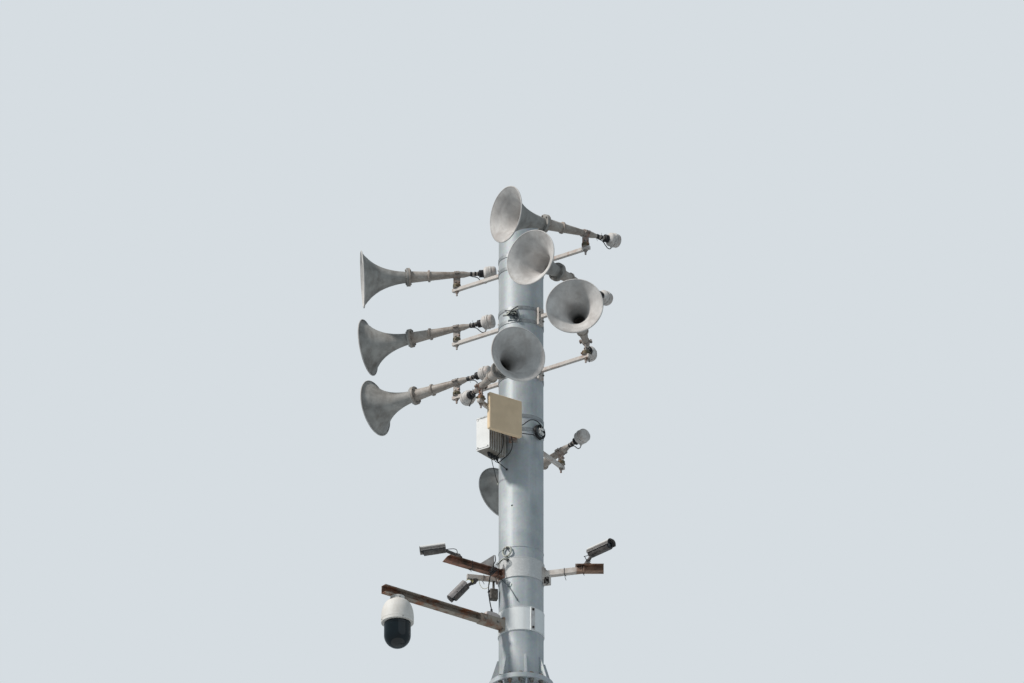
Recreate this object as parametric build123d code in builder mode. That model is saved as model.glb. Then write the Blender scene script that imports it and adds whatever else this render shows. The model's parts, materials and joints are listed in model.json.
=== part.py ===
from build123d import *
import math
import os

# Siren mast with horn speakers, cameras and radio equipment, in millimetres and degrees.
# Frame: origin at the centre of the base flange's underside, +Z up the mast, -Y to the front,
# +X to the right. Azimuths turn from +X towards +Y.

# ---- mast ----
pole_diameter = 380.0
pole_wall = 8.0
pole_joint_height = 7600.0
pole_upper_length = 4240.0
cap_overhang = 6.0
cap_thickness = 10.0
cable_hole_azimuth = 246.0
cable_hole_drop = 2637.0
cable_hole_diameter = 16.0

# ---- flanges and their ribs ----
joint_flange_diameter = 548.0
joint_flange_thickness = 20.0
joint_hole_circle = 476.0
joint_hole_diameter = 26.0
joint_hole_count = 16
joint_rib_height = 200.0
joint_rib_width = 72.0
base_flange_diameter = 680.0
base_flange_thickness = 30.0
anchor_circle = 580.0
anchor_hole_diameter = 36.0
anchor_count = 12
base_rib_height = 260.0
base_rib_width = 120.0
rib_count = 8
rib_thickness = 14.0
rib_nose = 14.0
rib_turn = -80.0

# ---- clearances ----
seat_gap = 0.3
wrap_gap = 0.3
right_angle = 90.0

# ---- horn arms and their straps ----
horn_level_drop = 350.0
horn_level_gap = 12.0
horn_arm_section = 32.0
horn_arm_reach = 725.0
pivot_radius = 686.0
pivot_bolt_diameter = 16.0
pivot_bore_gap = 0.3
pivot_nut_diameter = 30.0
pivot_nut_height = 14.0
pivot_bolt_tail = 26.0
saddle_width = 70.0
saddle_height = 156.0
saddle_depth = 24.0
strap_height = 30.0
strap_thickness = 4.0
strap_offset = 60.0

# ---- horns ----
horn_axis_height = 142.0
horn_mouth_reach = 812.0
bell_length = 396.0
bell_mouth_diameter = 494.0
bell_throat_diameter = 102.0
bell_wall = 3.0
bell_stages = 6
bell_flare_power = 1.5
bell_stage_power = 1.3
rim_depth = 8.0
rim_width = 5.0
collar_diameter = 160.0
collar_thickness = 16.0
duct_diameter = 26.0
ring_reach = 178.0
ring_diameter = 104.0
ring_thickness = 18.0
ring_tube_diameter = 80.0
clamp_tube_diameter = 56.0
clamp_stretch = 110.0
neck_diameter = 34.0
neck_end = 190.0
throat_ring_diameter = 66.0
throat_ring_length = 38.0
driver_diameter = 118.0
driver_length = 112.0
driver_band_diameter = 126.0
driver_band_length = 16.0
driver_chamfer = 18.0

# ---- horn brackets ----
knuckle_diameter = 64.0
knuckle_height = 34.0
lug_thickness = 12.0
lug_width = 60.0
clamp_width = 44.0
clamp_thickness = 6.0
clamp_ear_length = 20.0

# The horns at each level, from the top down.
horn_levels = [("1_right", "1_left"), ("2_right", "2_left"), ("3_right", "3_left"), ("4_front", "4_back")]
# Of each horn: the azimuth of its arm, the azimuth it points to and its tilt below level.
horn_angles = {
    "1_right": (-37.0, 213.0, 2.0),
    "1_left": (143.0, 182.0, 4.0),
    "2_right": (-37.0, 234.5, 2.0),
    "2_left": (143.0, 161.0, 4.0),
    "3_right": (-37.0, 263.0, 3.0),
    "3_left": (143.0, 150.0, 4.0),
    "4_front": (240.3, 293.0, 3.0),
    "4_back": (60.3, 129.5, 8.0),
}
# How far the arm of a horn lies below the middle of its saddle.
horn_arm_drops = {"4_back": 58.0}

# ---- camera band and arms ----
band_thickness = 6.0
band_ear_length = 30.0
band_ear_thickness = 10.0
band_split = 14.0
camera_band_rise = 1030.0
camera_band_width = 180.0
camera_band_splits = (90.0,)
dome_band_rise = 554.0
dome_band_width = 216.0
dome_band_splits = (119.0,)
band_plate_azimuth = 299.0
band_plate_width = 39.0
band_plate_depth = 8.0
root_plate_width = 70.0
root_plate_depth = 16.0
channel_wall = 6.0
left_arm_azimuth = 215.4
left_arm_drop = 40.0
left_arm_depth = 65.0
left_arm_width = 48.0
left_arm_reach = 798.0
left_arm_slant = 50.0
left_plate_height = 84.0
gusset_start = 282.0
gusset_length = 157.0
gusset_height = 125.0
gusset_thickness = 8.0
middle_arm_azimuth = 194.0
middle_arm_drop = 61.0
middle_arm_section = 40.0
middle_arm_reach = 470.0
middle_plate_height = 58.0
right_arm_azimuth = -15.6
right_arm_drop = 14.0
right_arm_section = 50.0
right_arm_reach = 560.0
right_plate_height = 110.0
root_cleat_length = 60.0
root_cleat_height = 74.0
root_cleat_depth = 40.0
end_bar_reach = 599.0
end_bar_length = 240.0
end_bar_depth = 72.0
end_bar_width = 54.0

# ---- dome camera and its arm ----
dome_arm_azimuth = 216.9
dome_arm_drop = 36.0
dome_arm_depth = 70.0
dome_arm_width = 60.0
dome_arm_reach = 1444.0
dome_sleeve_length = 240.0
dome_sleeve_wall = 5.0
dome_plate_rise = 20.0
dome_tip_gap = 146.0
dome_cap_diameter = 276.0
dome_cap_height = 208.0
dome_neck_diameter = 120.0
dome_neck_height = 34.0
dome_cap_shoulder = 160.0
dome_ball_diameter = 226.0
dome_ball_skirt = 112.0

# ---- bullet cameras ----
camera_body_size = 78.0
camera_body_corner = 30.0
shield_gap = 5.0
shield_thickness = 3.0
shield_overhang = 26.0
shield_skirt = 8.0
shield_rib = 16.0
lens_ring_diameter = 60.0
lens_ring_depth = 5.0
camera_foot_diameter = 66.0
camera_foot_height = 12.0
camera_ball_diameter = 40.0
camera_stem_diameter = 28.0
# Of each camera: the distance out along its arm of its foot, how far its back lies to the side
# in the direction of an azimuth, and how far above or below the foot; its length, azimuth and fall.
left_camera_inset = 150.0
left_camera_back = (193.0, 113.0, 81.0)
left_camera_length = 188.0
left_camera_aim = (182.0, 10.0)
middle_camera_reach = 407.0
middle_camera_back = (188.0, 68.0, 50.0)
middle_camera_length = 166.0
middle_camera_aim = (182.0, 48.0)
right_camera_shift = -18.0
right_camera_back = (-10.0, 27.0, 104.0)
right_camera_length = 240.0
right_camera_aim = (-48.0, 0.0)

# ---- small camera below the middle arm ----
small_camera_reach = 240.0
small_camera_width = 70.0
small_camera_depth = 58.0
small_camera_height = 92.0
small_camera_corner = 12.0
small_stem_diameter = 20.0
small_stem_height = 78.0

# ---- flat antenna and radio box ----
panel_size = 340.0
panel_height = 336.0
panel_thickness = 34.0
panel_corner = 10.0
panel_azimuth = -54.0
panel_center = (-128.0, -508.0)
panel_drop = 245.0
panel_arm_azimuth = 250.0
panel_arm_drop = 150.0
panel_arm_section = 36.0
panel_saddle_height = 78.0
panel_plate_size = 130.0
panel_plate_thickness = 6.0
box_turn = 54.0
box_width = 136.0
box_depth = 240.0
box_height = 300.0
box_drop = 320.0
box_corner = (-268.0, -377.0)
box_fin_count = 7
box_fin_depth = 14.0
box_fin_thickness = 6.0
box_bracket_height = 60.0
box_bracket_width = 90.0

# ---- tied coils of spare cable ----
black_coil_azimuth = -41.0
black_coil_drop = 70.0
black_coil_radius = 58.0
black_coil_thickness = 26.0
pale_coil_azimuth = 234.0
pale_coil_rise = 150.0
pale_coil_radius = 44.0
pale_coil_thickness = 16.0
coil_stand_off = 6.0
coil_hook_diameter = 12.0

pole_radius = pole_diameter / 2
wrap_radius = pole_radius + wrap_gap
pole_top = pole_joint_height + pole_upper_length
horn_level_pitch = bell_mouth_diameter + horn_level_gap
lowest_horn_height = pole_top - horn_level_drop - (len(horn_levels) - 1) * horn_level_pitch
camera_band_height = pole_joint_height + camera_band_rise
dome_band_height = pole_joint_height + dome_band_rise
band_face = wrap_radius + band_thickness + wrap_gap
end_bar_lift = end_bar_depth / 2 - channel_wall - right_arm_section / 2
left_camera_reach = left_arm_reach - left_camera_inset


def direction(azimuth, fall=0.0):
    """Unit vector at an azimuth, falling below level by an angle."""
    turn = math.radians(azimuth)
    drop = math.radians(fall)
    return Vector(math.cos(turn) * math.cos(drop), math.sin(turn) * math.cos(drop), -math.sin(drop))


def level_plane(azimuth, height, reach=0.0):
    """Level plane with its origin out along an azimuth and its x axis pointing outward."""
    outward = direction(azimuth)
    return Plane(origin=outward * reach + Vector(0, 0, height), x_dir=outward, z_dir=(0, 0, 1))


def facing_plane(azimuth, height, reach):
    """Upright plane that faces outward at an azimuth, with x to its left-hand side and y up."""
    outward = direction(azimuth)
    side = direction(azimuth + 90)
    return Plane(origin=outward * reach + Vector(0, 0, height), x_dir=side, z_dir=outward)


def write(piece, name):
    """Label a finished piece and write its file."""
    piece.part.label = name
    export_step(piece.part, f"parts/{name}.step")


def make_pole(name, bottom, top, hole_height=None):
    """A length of the round steel mast, with a small cable hole if it has one."""
    with BuildPart() as pole:
        with BuildSketch(Plane.XY.offset(bottom)):
            Circle(pole_radius)
            Circle(pole_radius - pole_wall, mode=Mode.SUBTRACT)
        extrude(amount=top - bottom)
        if hole_height:
            with BuildSketch(facing_plane(cable_hole_azimuth, hole_height, pole_radius + pole_wall)):
                Circle(cable_hole_diameter / 2)
            extrude(amount=-3 * pole_wall, mode=Mode.SUBTRACT)
    write(pole, name)


def make_flange(name, face, upward, diameter, thickness, rib_width, rib_height, circle, hole, count):
    """A ribbed flange: its ring, its ribs round the tube and its bolt holes."""
    turned = Plane(origin=(0, 0, face), x_dir=direction(rib_turn), z_dir=(0, 0, upward))
    rib_faces = turned.offset(thickness)
    rib_foot = rib_faces.origin.Z
    with BuildPart() as flange:
        with BuildSketch(turned):
            Circle(diameter / 2)
            Circle(pole_radius - pole_wall, mode=Mode.SUBTRACT)
            with PolarLocations(circle / 2, count, start_angle=180 / count):
                Circle(hole / 2, mode=Mode.SUBTRACT)
        extrude(amount=thickness)
        for index in range(rib_count):
            rib_azimuth = rib_turn + index * 360 / rib_count
            rib_plane = Plane(
                origin=(0, 0, rib_foot),
                x_dir=direction(rib_azimuth),
                z_dir=direction(rib_azimuth - 90 * upward),
            )
            with BuildSketch(rib_plane):
                Polygon(
                    (wrap_radius, 0),
                    (wrap_radius + rib_width, 0),
                    (wrap_radius + rib_width, rib_nose),
                    (wrap_radius + rib_nose, rib_height),
                    (wrap_radius, rib_height),
                    align=None,
                )
            extrude(amount=rib_thickness / 2, both=True)
    write(flange, name)


def make_mast():
    """Both lengths of the mast with their flanges and the cap."""
    make_flange(
        "base_flange", 0, 1, base_flange_diameter, base_flange_thickness,
        base_rib_width, base_rib_height, anchor_circle, anchor_hole_diameter, anchor_count,
    )
    make_pole("pole_lower", base_flange_thickness, pole_joint_height - joint_flange_thickness)
    for name, upward in (("joint_flange_lower", -1), ("joint_flange_upper", 1)):
        make_flange(
            name, pole_joint_height, upward, joint_flange_diameter, joint_flange_thickness,
            joint_rib_width, joint_rib_height, joint_hole_circle, joint_hole_diameter, joint_hole_count,
        )
    make_pole(
        "pole_upper", pole_joint_height + joint_flange_thickness, pole_top, pole_top - cable_hole_drop
    )
    with BuildPart() as cap:
        with BuildSketch(Plane.XY.offset(pole_top)):
            Circle(pole_radius + cap_overhang)
        extrude(amount=cap_thickness)
        chamfer(cap.edges().group_by(Axis.Z)[-1], cap_thickness / 3)
    write(cap, "pole_cap")


def level_height(level):
    """Height of the saddles of a level, counted from the top."""
    return pole_top - horn_level_drop - level * horn_level_pitch


def horn_arm_height(level, name):
    """Height of the arm of a horn."""
    return level_height(level) - horn_arm_drops.get(name, 0)


def make_horn_arms():
    """The arm of each horn with its saddle on the mast and the bore of its pivot bolt."""
    arm_start = pole_radius + saddle_depth / 2
    with BuildPart() as arms:
        for level, names in enumerate(horn_levels):
            for name in names:
                arm_azimuth = horn_angles[name][0]
                height = horn_arm_height(level, name)
                with BuildSketch(level_plane(arm_azimuth, level_height(level) - saddle_height / 2)):
                    with Locations((pole_radius, 0)):
                        Rectangle(2 * saddle_depth, saddle_width)
                    Circle(wrap_radius, mode=Mode.SUBTRACT)
                extrude(amount=saddle_height)
                with BuildSketch(facing_plane(arm_azimuth, height, arm_start)):
                    RectangleRounded(horn_arm_section, horn_arm_section, horn_arm_section / 10)
                extrude(amount=horn_arm_reach - arm_start)
                with BuildSketch(level_plane(arm_azimuth, height, pivot_radius)):
                    Circle(pivot_bolt_diameter / 2 + pivot_bore_gap)
                extrude(amount=horn_arm_section, both=True, mode=Mode.SUBTRACT)
    write(arms, "horn_arms")


def make_straps():
    """Steel straps that hold the saddles of each level, above and below its arms."""
    with BuildPart() as straps:
        for level, names in enumerate(horn_levels):
            for side in (-1, 1):
                low = level_height(level) + side * strap_offset - strap_height / 2
                with BuildSketch(Plane.XY.offset(low)):
                    Circle(wrap_radius + strap_thickness)
                    Circle(wrap_radius, mode=Mode.SUBTRACT)
                    for name in names:
                        azimuth = horn_angles[name][0]
                        with Locations(Location(direction(azimuth) * pole_radius, (0, 0, azimuth))):
                            Rectangle(4 * saddle_depth, saddle_width + 2 * seat_gap, mode=Mode.SUBTRACT)
                extrude(amount=strap_height)
    write(straps, "arm_straps")


def bell_radius(reach):
    """Outer radius of the bell at a distance back from its mouth: an exponential flare."""
    share = 1 - reach / bell_length
    flare = math.log(bell_mouth_diameter / bell_throat_diameter)
    return bell_throat_diameter / 2 * math.exp(flare * share**bell_flare_power)


def make_horn(name, arm_height):
    """One horn: bell, stepped tube, driver and the bracket that swivels on the arm."""
    arm_azimuth, azimuth, tilt = horn_angles[name]
    forward = direction(azimuth, tilt)
    pivot = direction(arm_azimuth) * pivot_radius + Vector(0, 0, arm_height + horn_axis_height)
    side = direction(azimuth - 90)
    axis = Axis(pivot, forward)
    # In this plane x runs along the horn to its mouth and y is the distance up from its axis.
    length_plane = Plane(origin=pivot, x_dir=forward, z_dir=side)

    bell_back = horn_mouth_reach - bell_length
    mouth_radius = bell_mouth_diameter / 2
    shares = [(index / bell_stages) ** bell_stage_power for index in range(bell_stages + 1)]
    outer = [(horn_mouth_reach - bell_length * share, bell_radius(bell_length * share)) for share in shares]
    outer[0] = (horn_mouth_reach, mouth_radius - rim_width)
    inner = [(x, y - bell_wall) for x, y in reversed(outer)]
    with BuildPart() as bell:
        with BuildSketch(length_plane):
            Polygon(*outer, *inner, align=None)
            with Locations((horn_mouth_reach - rim_depth / 2, mouth_radius - rim_width)):
                Rectangle(rim_depth, 2 * rim_width)
            with Locations((bell_back + collar_thickness / 2, collar_diameter / 4)):
                Rectangle(collar_thickness, collar_diameter / 2)
            with Locations((bell_back, bell_throat_diameter / 4 - bell_wall / 2)):
                Rectangle(4 * collar_thickness, bell_throat_diameter / 2 - bell_wall, mode=Mode.SUBTRACT)
        revolve(axis=axis)
    write(bell, f"bell_{name}")

    ring_middle = bell_back - ring_reach
    clamp_end = clamp_stretch / 2
    tube_outline = [
        (bell_back, collar_diameter / 2),
        (bell_back - collar_thickness, collar_diameter / 2),
        (bell_back - collar_thickness, bell_throat_diameter / 2),
        (ring_middle + ring_thickness / 2, ring_tube_diameter / 2),
        (ring_middle + ring_thickness / 2, ring_diameter / 2),
        (ring_middle - ring_thickness / 2, ring_diameter / 2),
        (ring_middle - ring_thickness / 2, ring_tube_diameter / 2),
        (clamp_end, clamp_tube_diameter / 2),
        (-clamp_end, clamp_tube_diameter / 2),
        (-clamp_end - clamp_tube_diameter, neck_diameter / 2),
        (-neck_end, neck_diameter / 2),
        (-neck_end, throat_ring_diameter / 2),
        (-neck_end - throat_ring_length, throat_ring_diameter / 2),
    ]
    duct_outline = [
        (-neck_end - throat_ring_length, duct_diameter / 2),
        (bell_back, duct_diameter / 2),
    ]
    with BuildPart() as tube:
        with BuildSketch(length_plane):
            Polygon(*tube_outline, *duct_outline, align=None)
        revolve(axis=axis)
    write(tube, f"tube_{name}")

    driver_front = -neck_end - throat_ring_length
    driver_back = driver_front - driver_length
    driver_radius = driver_diameter / 2
    with BuildPart() as driver:
        with BuildSketch(length_plane):
            Polygon(
                (driver_front, 0),
                (driver_front, driver_radius - driver_chamfer),
                (driver_front - driver_chamfer, driver_radius),
                (driver_back + driver_chamfer, driver_radius),
                (driver_back, driver_radius - driver_chamfer),
                (driver_back, 0),
                align=None,
            )
            with Locations(((driver_front + driver_back) / 2, driver_band_diameter / 4)):
                Rectangle(driver_band_length, driver_band_diameter / 2)
        revolve(axis=axis)
    write(driver, f"driver_{name}")

    make_bracket(name, level_plane(arm_azimuth, arm_height, pivot_radius).origin, length_plane, azimuth)


def make_bracket(name, arm_point, length_plane, azimuth):
    """Bracket of one horn: pivot bolt with its nut, knuckle, lug plate and tube clamp."""
    knuckle_foot = horn_arm_section / 2 + seat_gap
    upright = Plane(origin=arm_point, x_dir=direction(azimuth), z_dir=(0, 0, 1))
    clamp_inner = clamp_tube_diameter / 2 + seat_gap / 3
    clamp_outer = clamp_inner + clamp_thickness
    clamp_plane = Plane(
        origin=length_plane.origin - length_plane.x_dir * clamp_width / 2,
        x_dir=length_plane.z_dir,
        z_dir=length_plane.x_dir,
    )
    with BuildPart() as bracket:
        with BuildSketch(upright.offset(knuckle_foot)):
            Circle(knuckle_diameter / 2)
        extrude(amount=knuckle_height)
        with BuildSketch(upright.offset(-knuckle_foot - pivot_nut_height - pivot_bolt_tail)):
            Circle(pivot_bolt_diameter / 2)
        extrude(amount=pivot_bolt_tail + pivot_nut_height + 2 * knuckle_foot + knuckle_height / 2)
        with BuildSketch(upright.offset(-knuckle_foot - pivot_nut_height)):
            RegularPolygon(pivot_nut_diameter / 2, 6)
        extrude(amount=pivot_nut_height)
        with BuildSketch(upright.offset(knuckle_foot + knuckle_height / 2)):
            Rectangle(lug_width, lug_thickness)
        extrude(amount=horn_axis_height - knuckle_foot - knuckle_height / 2)
        with BuildSketch(clamp_plane):
            Circle(clamp_outer)
            Rectangle(2 * (clamp_outer + clamp_ear_length), 2 * clamp_thickness)
        extrude(amount=clamp_width)
        with BuildSketch(clamp_plane.offset(-lug_width)):
            Circle(clamp_inner)
        extrude(amount=clamp_width + 2 * lug_width, mode=Mode.SUBTRACT)
    write(bracket, f"bracket_{name}")


def make_band(name, middle, width, splits, plates):
    """A wide clamp band round the mast with upright ears at its splits and flat joint plates."""
    ear_depth = band_thickness + band_ear_length
    plate_depth = band_thickness + band_plate_depth
    with BuildPart() as band:
        with BuildSketch(Plane.XY.offset(middle - width / 2)):
            Circle(wrap_radius + band_thickness)
            for azimuth in splits:
                with Locations(Location(direction(azimuth) * (wrap_radius + ear_depth / 2), (0, 0, azimuth))):
                    Rectangle(ear_depth, band_split + 2 * band_ear_thickness)
            for azimuth in plates:
                with Locations(Location(direction(azimuth) * wrap_radius, (0, 0, azimuth))):
                    Rectangle(2 * plate_depth, band_plate_width)
            Circle(wrap_radius, mode=Mode.SUBTRACT)
            for azimuth in splits:
                with Locations(Location(direction(azimuth) * pole_radius, (0, 0, azimuth))):
                    Rectangle(4 * ear_depth, band_split, mode=Mode.SUBTRACT)
        extrude(amount=width)
    write(band, name)


def make_left_arm():
    """Open channel of the left camera on its root plate, with a gusset above it and a slanted tip."""
    height = camera_band_height - left_arm_drop
    half_depth = left_arm_depth / 2
    channel_face = facing_plane(left_arm_azimuth, height, band_face + root_plate_depth / 2)
    upright = Plane(
        origin=(0, 0, height), x_dir=direction(left_arm_azimuth), z_dir=direction(left_arm_azimuth - 90)
    )
    with BuildPart() as arm:
        with BuildSketch(level_plane(left_arm_azimuth, height - left_plate_height / 2)):
            with Locations((band_face, 0)):
                Rectangle(2 * root_plate_depth, root_plate_width)
            Circle(band_face, mode=Mode.SUBTRACT)
        extrude(amount=left_plate_height)
        with BuildSketch(channel_face):
            Rectangle(left_arm_width, left_arm_depth)
            with Locations((channel_wall, 0)):
                Rectangle(left_arm_width, left_arm_depth - 2 * channel_wall, mode=Mode.SUBTRACT)
        extrude(amount=left_arm_reach - band_face - root_plate_depth / 2)
        with BuildSketch(upright):
            Polygon(
                (gusset_start, half_depth - channel_wall / 2),
                (gusset_start + gusset_length, half_depth - channel_wall / 2),
                (gusset_start, half_depth + gusset_height),
                align=None,
            )
        extrude(amount=gusset_thickness / 2, both=True)
        with BuildSketch(upright):
            Polygon(
                (left_arm_reach, -half_depth),
                (left_arm_reach, half_depth),
                (left_arm_reach - left_arm_slant, half_depth),
                align=None,
            )
        extrude(amount=left_arm_width, both=True, mode=Mode.SUBTRACT)
    write(arm, "camera_arm_left")


def make_middle_arm():
    """Short square arm of the hanging camera on its root plate."""
    height = camera_band_height - middle_arm_drop
    arm_start = band_face + root_plate_depth / 2
    with BuildPart() as arm:
        with BuildSketch(level_plane(middle_arm_azimuth, height - middle_plate_height / 2)):
            with Locations((band_face, 0)):
                Rectangle(2 * root_plate_depth, root_plate_width)
            Circle(band_face, mode=Mode.SUBTRACT)
        extrude(amount=middle_plate_height)
        with BuildSketch(facing_plane(middle_arm_azimuth, height, arm_start)):
            RectangleRounded(middle_arm_section, middle_arm_section, middle_arm_section / 10)
        extrude(amount=middle_arm_reach - arm_start)
    write(arm, "camera_arm_middle")


def make_right_arm():
    """Square arm of the right camera on its root plate and cleat, ending in an open channel laid across."""
    height = camera_band_height - right_arm_drop
    arm_start = band_face + root_plate_depth / 2
    cleat_middle = Vector(band_face + root_cleat_length / 2, -(right_arm_section + root_cleat_height) / 2)
    upright = Plane(
        origin=(0, 0, height), x_dir=direction(right_arm_azimuth), z_dir=direction(right_arm_azimuth - 90)
    )
    bar_point = direction(right_arm_azimuth) * end_bar_reach + Vector(0, 0, height + end_bar_lift)
    bar_plane = Plane(origin=bar_point - Vector(end_bar_length / 2, 0, 0), x_dir=(0, 1, 0), z_dir=(1, 0, 0))
    with BuildPart() as arm:
        with BuildSketch(level_plane(right_arm_azimuth, height - right_plate_height / 2)):
            with Locations((band_face, 0)):
                Rectangle(2 * root_plate_depth, root_plate_width)
            Circle(band_face, mode=Mode.SUBTRACT)
        extrude(amount=right_plate_height)
        with BuildSketch(upright.offset(-root_cleat_depth / 2)):
            with Locations(cleat_middle):
                Rectangle(root_cleat_length, root_cleat_height)
        extrude(amount=root_cleat_depth)
        with BuildSketch(upright.offset(channel_wall - root_cleat_depth / 2)):
            with Locations(cleat_middle):
                Rectangle(root_cleat_length - 2 * channel_wall, root_cleat_height - 2 * channel_wall)
        extrude(amount=root_cleat_depth, mode=Mode.SUBTRACT)
        with BuildSketch(Plane.XY.offset(height - right_plate_height)):
            Circle(band_face)
        extrude(amount=2 * right_plate_height, mode=Mode.SUBTRACT)
        with BuildSketch(bar_plane):
            Rectangle(end_bar_width, end_bar_depth)
            with Locations((-channel_wall, 0)):
                Rectangle(end_bar_width, end_bar_depth - 2 * channel_wall, mode=Mode.SUBTRACT)
        extrude(amount=end_bar_length)
        with BuildSketch(facing_plane(right_arm_azimuth, height, arm_start)):
            RectangleRounded(right_arm_section, right_arm_section, right_arm_section / 10)
        extrude(amount=right_arm_reach - arm_start)
    write(arm, "camera_arm_right")


def make_bullet_camera(name, foot, upward, back_offset, length, aim):
    """A bullet camera: its foot on the arm, ball joint, stem, rounded body, sun shield and lens ring."""
    azimuth, fall = aim
    back_azimuth, back_reach, back_height = back_offset
    forward = direction(azimuth, fall)
    back = foot + direction(back_azimuth) * back_reach + Vector(0, 0, upward * back_height)
    foot_plane = Plane(origin=foot, x_dir=direction(azimuth), z_dir=(0, 0, upward))
    ball_point = foot + Vector(0, 0, upward * (camera_foot_height + camera_ball_diameter / 4))
    stem_end = back + forward * camera_body_size / 2
    stem_plane = Plane(origin=ball_point, z_dir=(stem_end - ball_point).normalized())
    back_plane = Plane(origin=back, x_dir=direction(azimuth + 90), z_dir=forward)
    shield_inner = camera_body_size + 2 * shield_gap
    shield_outer = shield_inner + 2 * shield_thickness
    shield_corner = camera_body_corner + shield_gap
    with BuildPart() as camera:
        with BuildSketch(foot_plane):
            Circle(camera_foot_diameter / 2)
        extrude(amount=camera_foot_height)
        with Locations(ball_point):
            Sphere(camera_ball_diameter / 2)
        with BuildSketch(stem_plane):
            Circle(camera_stem_diameter / 2)
        extrude(amount=(stem_end - ball_point).length)
        with BuildSketch(back_plane):
            RectangleRounded(camera_body_size, camera_body_size, camera_body_corner)
        extrude(amount=length)
        with BuildSketch(back_plane):
            RectangleRounded(shield_outer, shield_outer, shield_corner + shield_thickness)
            RectangleRounded(shield_inner, shield_inner, shield_corner, mode=Mode.SUBTRACT)
            with Locations((0, -shield_skirt)):
                Rectangle(
                    2 * shield_outer, shield_outer, align=(Align.CENTER, Align.MAX), mode=Mode.SUBTRACT
                )
        extrude(amount=length + shield_overhang)
        with BuildSketch(back_plane):
            with Locations((0, camera_body_size / 2 - shield_gap)):
                Rectangle(shield_rib, 2 * shield_gap + shield_thickness, align=(Align.CENTER, Align.MIN))
        extrude(amount=length)
        with BuildSketch(back_plane.offset(length)):
            Circle(lens_ring_diameter / 2)
            Circle(lens_ring_diameter / 2 - lens_ring_depth, mode=Mode.SUBTRACT)
        extrude(amount=lens_ring_depth)
    write(camera, name)


def make_cameras():
    """The three bullet cameras and the small box camera below the middle arm."""
    left_top = camera_band_height - left_arm_drop + left_arm_depth / 2
    left_foot = direction(left_arm_azimuth) * left_camera_reach + Vector(0, 0, left_top + seat_gap)
    make_bullet_camera("camera_left", left_foot, 1, left_camera_back, left_camera_length, left_camera_aim)

    middle_bottom = camera_band_height - middle_arm_drop - middle_arm_section / 2
    middle_foot = direction(middle_arm_azimuth) * middle_camera_reach
    middle_foot += Vector(0, 0, middle_bottom - seat_gap)
    make_bullet_camera(
        "camera_middle", middle_foot, -1, middle_camera_back, middle_camera_length, middle_camera_aim
    )

    right_top = camera_band_height - right_arm_drop + end_bar_lift + end_bar_depth / 2
    right_foot = direction(right_arm_azimuth) * end_bar_reach
    right_foot += Vector(right_camera_shift, 0, right_top + seat_gap)
    make_bullet_camera(
        "camera_right", right_foot, 1, right_camera_back, right_camera_length, right_camera_aim
    )

    hanging_plane = level_plane(middle_arm_azimuth, middle_bottom - seat_gap, small_camera_reach)
    with BuildPart() as small_camera:
        with BuildSketch(hanging_plane.offset(-small_stem_height)):
            Circle(small_stem_diameter / 2)
        extrude(amount=small_stem_height)
        with BuildSketch(hanging_plane.offset(-small_stem_height - small_camera_height)):
            RectangleRounded(small_camera_width, small_camera_depth, small_camera_corner)
        extrude(amount=small_camera_height)
        fillet(small_camera.edges().group_by(Axis.Z)[0], small_camera_corner / 2)
    write(small_camera, "camera_small")


def make_dome_arm():
    """The long open channel of the dome camera with the sleeve at its root."""
    height = dome_band_height - dome_arm_drop
    root = band_face + root_plate_depth / 2
    sleeve_width = dome_arm_width + 2 * dome_sleeve_wall
    sleeve_depth = dome_arm_depth + 2 * dome_sleeve_wall
    plate_height = sleeve_depth + 2 * dome_plate_rise
    channel_start = root + dome_sleeve_length + dome_sleeve_wall
    with BuildPart() as dome_arm:
        with BuildSketch(level_plane(dome_arm_azimuth, height - plate_height / 2)):
            with Locations((band_face, 0)):
                Rectangle(2 * root_plate_depth, root_plate_width)
            Circle(band_face, mode=Mode.SUBTRACT)
        extrude(amount=plate_height)
        with BuildSketch(facing_plane(dome_arm_azimuth, height, root)):
            Rectangle(sleeve_width, sleeve_depth)
        extrude(amount=dome_sleeve_length)
        with BuildSketch(facing_plane(dome_arm_azimuth, height, root)):
            Rectangle(dome_arm_width, dome_arm_depth)
        extrude(amount=dome_arm_reach - root)
        with BuildSketch(facing_plane(dome_arm_azimuth, height, channel_start)):
            with Locations((channel_wall, 0)):
                Rectangle(dome_arm_width, dome_arm_depth - 2 * channel_wall)
        extrude(amount=dome_arm_reach - channel_start, mode=Mode.SUBTRACT)
    write(dome_arm, "dome_arm")


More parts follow.
